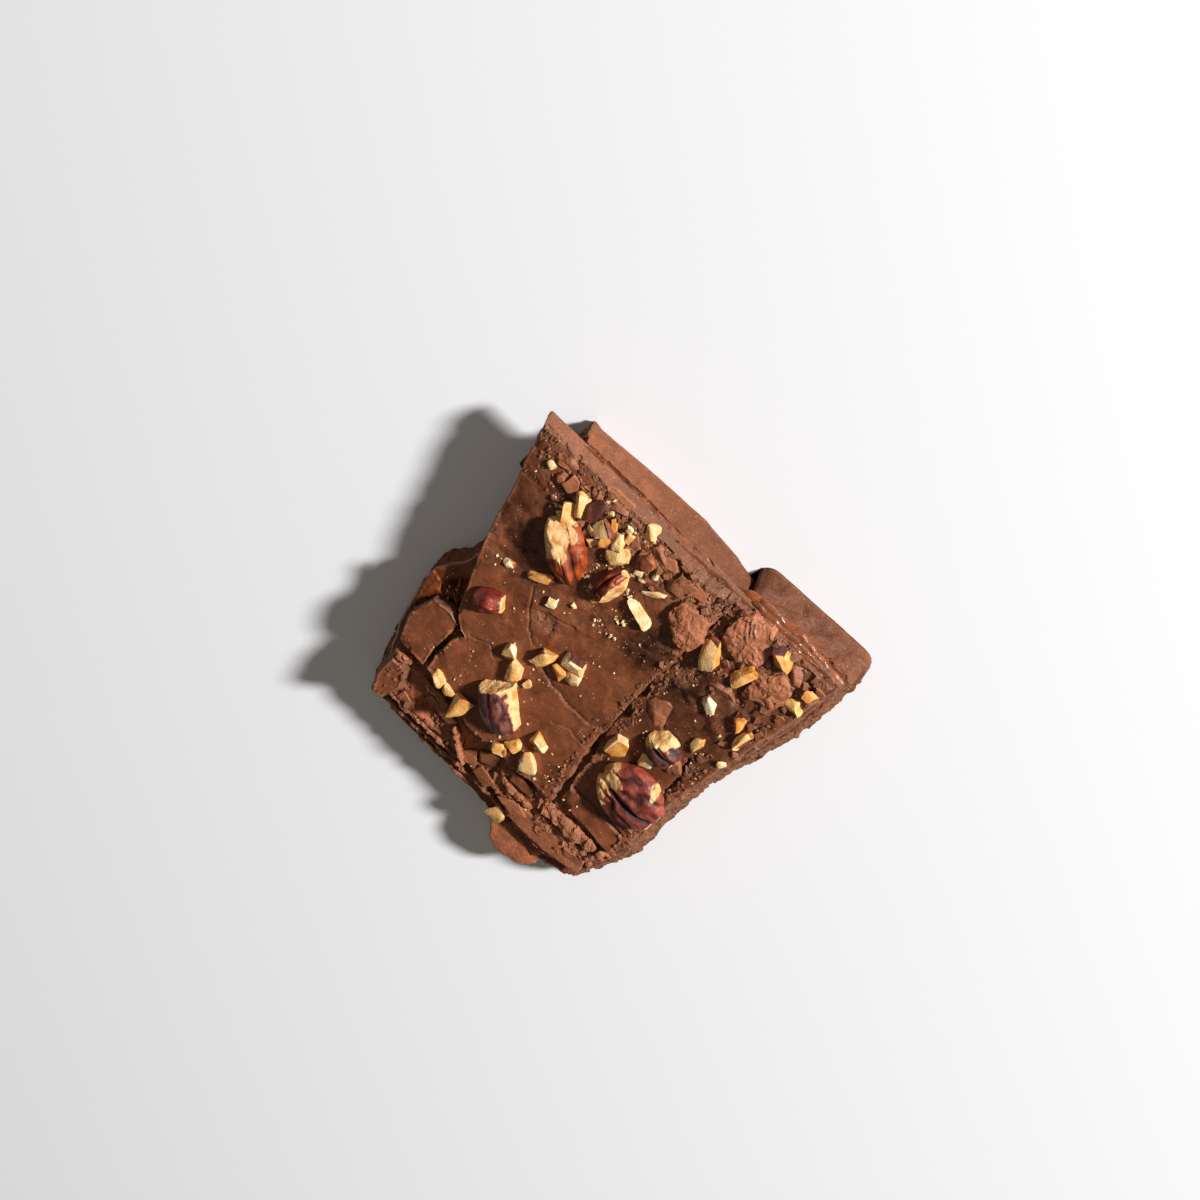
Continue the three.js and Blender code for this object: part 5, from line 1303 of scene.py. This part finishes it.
# Crumbs and rubble: fields of plan box, how many, smallest and largest size; the same draw every time
crumbShape = dict(cells=1, sharp=(40, 41), trims=0, trimAt=(1, 1), tip=20)
loose = dict(
    chocolate=dict(**crumbShape, uneven=0.4, few=2.2, clear=-0.2, seed=23, sink=0.16, flat=(0.45, 0.8),
                   fields=[
        ((-43, 47), (-34, -21), 700, 0.3, 1.3), ((-16, -10.5), (-12, 44), 420, 0.3, 1.0),
        ((-33, 37), (43, 58), 380, 0.3, 1.2), ((-37, -33), (2, 42), 160, 0.3, 1.2),
        ((-40, 44), (-22, 42), 140, 0.2, 0.6), ((-44, -16), (-22, -4), 110, 0.3, 1.2),
        ((8, 47), (-34.4, -31), 420, 0.25, 0.8)]),
    rubble=dict(cells=2, sharp=(20, 24), trims=1, trimAt=(0.7, 1.05), tip=34, uneven=0.45, few=2.2, clear=-2,
                seed=31, sink=0.12, flat=(0.25, 0.6), fields=[
        ((-12, 34), (-31.6, -25), 130, 0.8, 3.4), ((-43, -14), (-34, -17), 110, 1.0, 3.2),
        ((0, 34), (-30, -20), 40, 1.0, 3.0), ((-15.6, -11), (-14, 42), 46, 0.8, 2.0),
        ((-33, 36), (44, 57), 80, 1.0, 2.8), ((-36, -32.6), (2, 40), 26, 1.0, 2.4),
        ((-42, -34), (-22, -2), 26, 1.0, 2.6)]),
    nut=dict(**crumbShape, uneven=0.5, few=3.0, clear=0.05, seed=15, sink=0.2, flat=(0.3, 0.65), fields=[
        ((1, 35), (-31, -8), 420, 0.25, 1.4), ((-40, 42), (-30, 42), 1100, 0.14, 0.8),
        ((-16, 6), (36, 58), 90, 0.2, 0.9), ((6, 34), (-33, -18), 360, 0.15, 0.9),
        ((12, 24), (-28.5, -20), 80, 0.8, 2.2), ((-2, 10), (-6, 2), 90, 0.2, 1.0)]),
)


# How all of them lie: length of the patches they are strewn in, shape in plan, and spread of torn and pale
# ones
strewing = dict(patch=3.2, narrow=(0.45, 0.95), torn=(0.64, 0.98), pale=(-0.8, 0.0),
                lowest=slab["baseTop"] - 0.5)


# Chopped boxes drawn at random in each field, kept where a slow noise is high enough, and set on the ground
def makeLoose(kind, name, material):
    shape = loose[kind]
    draws = np.random.default_rng(shape["seed"])
    lots = []
    for across, along, count, small, large in shape["fields"]:
        size = small + (large - small) * draws.uniform(0, 1, count) ** shape["few"]
        lots.append(np.stack([draws.uniform(*across, count), draws.uniform(*along, count), size]))
    x, y, size = np.concatenate(lots, 1)
    ground = groundAt(x, y)
    strewn = noise(x / strewing["patch"], y / strewing["patch"], 82) > shape["clear"]
    x, y, size, ground = np.stack([x, y, size, ground])[:, strewn & (ground > strewing["lowest"])]
    count = len(x)
    solids, quads = choppedBoxes(count, shape, draws)[:2]
    narrow, flat = [draws.uniform(*limits, count) for limits in (strewing["narrow"], shape["flat"])]
    stretch = np.stack([0 * x + 1, narrow, flat], 1)
    tip = shape["tip"] * draws.uniform(-1, 1, count)
    places = turned(solids * (stretch * size[:, None] / 2)[:, None], tip, draws.uniform(0, 360, count))
    places += np.stack([x, y, ground + shape["sink"] * size], 1)[:, None]
    torn, pale = [np.broadcast_to(draws.uniform(*strewing[key], (count, 1)), places.shape[:2])
                  for key in ("torn", "pale")]
    layers = dict(broken=torn, tone=0.5 + 0.5 * torn, paintedShadingAndTone=pale)
    return joinedPiece(name, places, quads, noTriangles, material, layers)


chocolateCrumbs = makeLoose("chocolate", "chocolateCrumbs", chocolate)
chocolateRubble = makeLoose("rubble", "chocolateRubble", chocolate)
nutCrumbs = makeLoose("nut", "nutCrumbs", nutMeat)
print("crumbs made")

# What stands for which solid; that solid is hidden
topPieces = [mainPlate, leftPlate, cornerPlate, cornerBlock, topBed, brokenLumps, chocolateSheets,
             chocolateClods, chocolateShards, chocolateRubble, wetRails]
for piece in topPieces + [choppedNuts]:
    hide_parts("top_chocolate")
for piece in (baseLayer, backFlap):
    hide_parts("base_chocolate")
for piece in (caramelSheet, caramelStrands, caramelPatches):
    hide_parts("caramel_layer")

# Studio in metres: pale floor just under the slab, a pale surround, and lights as name, way to them,
# distance, size and power: one low key from the front left of the slab and a broad weak fill
studio = dict(
    floor="#f1f1f3", floorSize=6.0, floorPoints=9, floorDrop=0.0002, surround=0.11, surroundColour="#fff2e2",
    aim=(0.0, 0.0, 0.01),
    lights=[("keyLight", (-0.53, -0.73, 0.42), 2.4, 0.3, 114.0),
            ("fillLight", (0.25, -0.35, 0.9), 1.3, 1.4, 1.0)])


# Floor as a flat grid, an even surround, and lights that look at the slab
def makeStudio():
    half, points = studio["floorSize"] / 2, studio["floorPoints"]
    steps = np.linspace(-half, half, points)
    x, y = [v.ravel() for v in np.meshgrid(steps, steps)]
    mesh = bpy.data.meshes.new("paleFloor")
    places = np.stack([x, y, 0 * x - studio["floorDrop"]], 1)
    mesh.from_pydata(places.tolist(), [], gridQuads(points, points).tolist())
    mesh.materials.append(startMaterial("paleFloor", Roughness=0.7, Base_Color=linear(studio["floor"]))[0])
    floor = bpy.data.objects.new("paleFloor", mesh)
    bpy.context.scene.collection.objects.link(floor)
    world = bpy.data.worlds.new("paleSurround")
    world.use_nodes = True
    glow = world.node_tree.nodes["Background"]
    glow.inputs["Color"].default_value = linear(studio["surroundColour"])
    glow.inputs["Strength"].default_value = studio["surround"]
    bpy.context.scene.world = world
    aim = np.array(studio["aim"])
    for name, towards, distance, size, power in studio["lights"]:
        lamp = bpy.data.lights.new(name, "AREA")
        lamp.shape, lamp.size, lamp.energy = "DISK", size, power
        held = bpy.data.objects.new(name, lamp)
        spot = aim + np.array(towards) / np.linalg.norm(towards) * distance
        held.location = spot
        held.rotation_mode = "QUATERNION"
        held.rotation_quaternion = Vector(aim - spot).to_track_quat("-Z", "Y")
        bpy.context.scene.collection.objects.link(held)


makeStudio()

# Camera: plan point in the middle of the picture, lean from upright, roll about the view and distance, in mm
view = dict(aim=(10.06, -3.18, 5.01), lean=32.0, roll=-137.0, distance=1000.0, lens=125.0, sensor=36.0)


# The view's axes from its lean and roll, and its place straight back from the aim
def makeCamera():
    lean, roll = math.radians(view["lean"]), math.radians(view["roll"])
    back = np.array([0, -math.sin(lean), math.cos(lean)])
    flat, steep = np.array([1, 0, 0]), np.array([0, math.cos(lean), math.sin(lean)])
    right = math.cos(roll) * flat + math.sin(roll) * steep
    up = np.cross(back, right)
    origin = np.array([slab["planX"], slab["planY"], 0])
    place = (np.array(view["aim"]) + back * view["distance"] - origin) * millimetre
    lens = bpy.data.cameras.new("photoView")
    lens.lens, lens.sensor_width = view["lens"], view["sensor"]
    camera = bpy.data.objects.new("photoView", lens)
    camera.matrix_world = Matrix(np.column_stack([right, up, back, place]).tolist() + [[0, 0, 0, 1]])
    bpy.context.scene.collection.objects.link(camera)
    bpy.context.scene.camera = camera


makeCamera()
bpy.context.scene.view_settings.view_transform = "Standard"
print("studio and camera made")
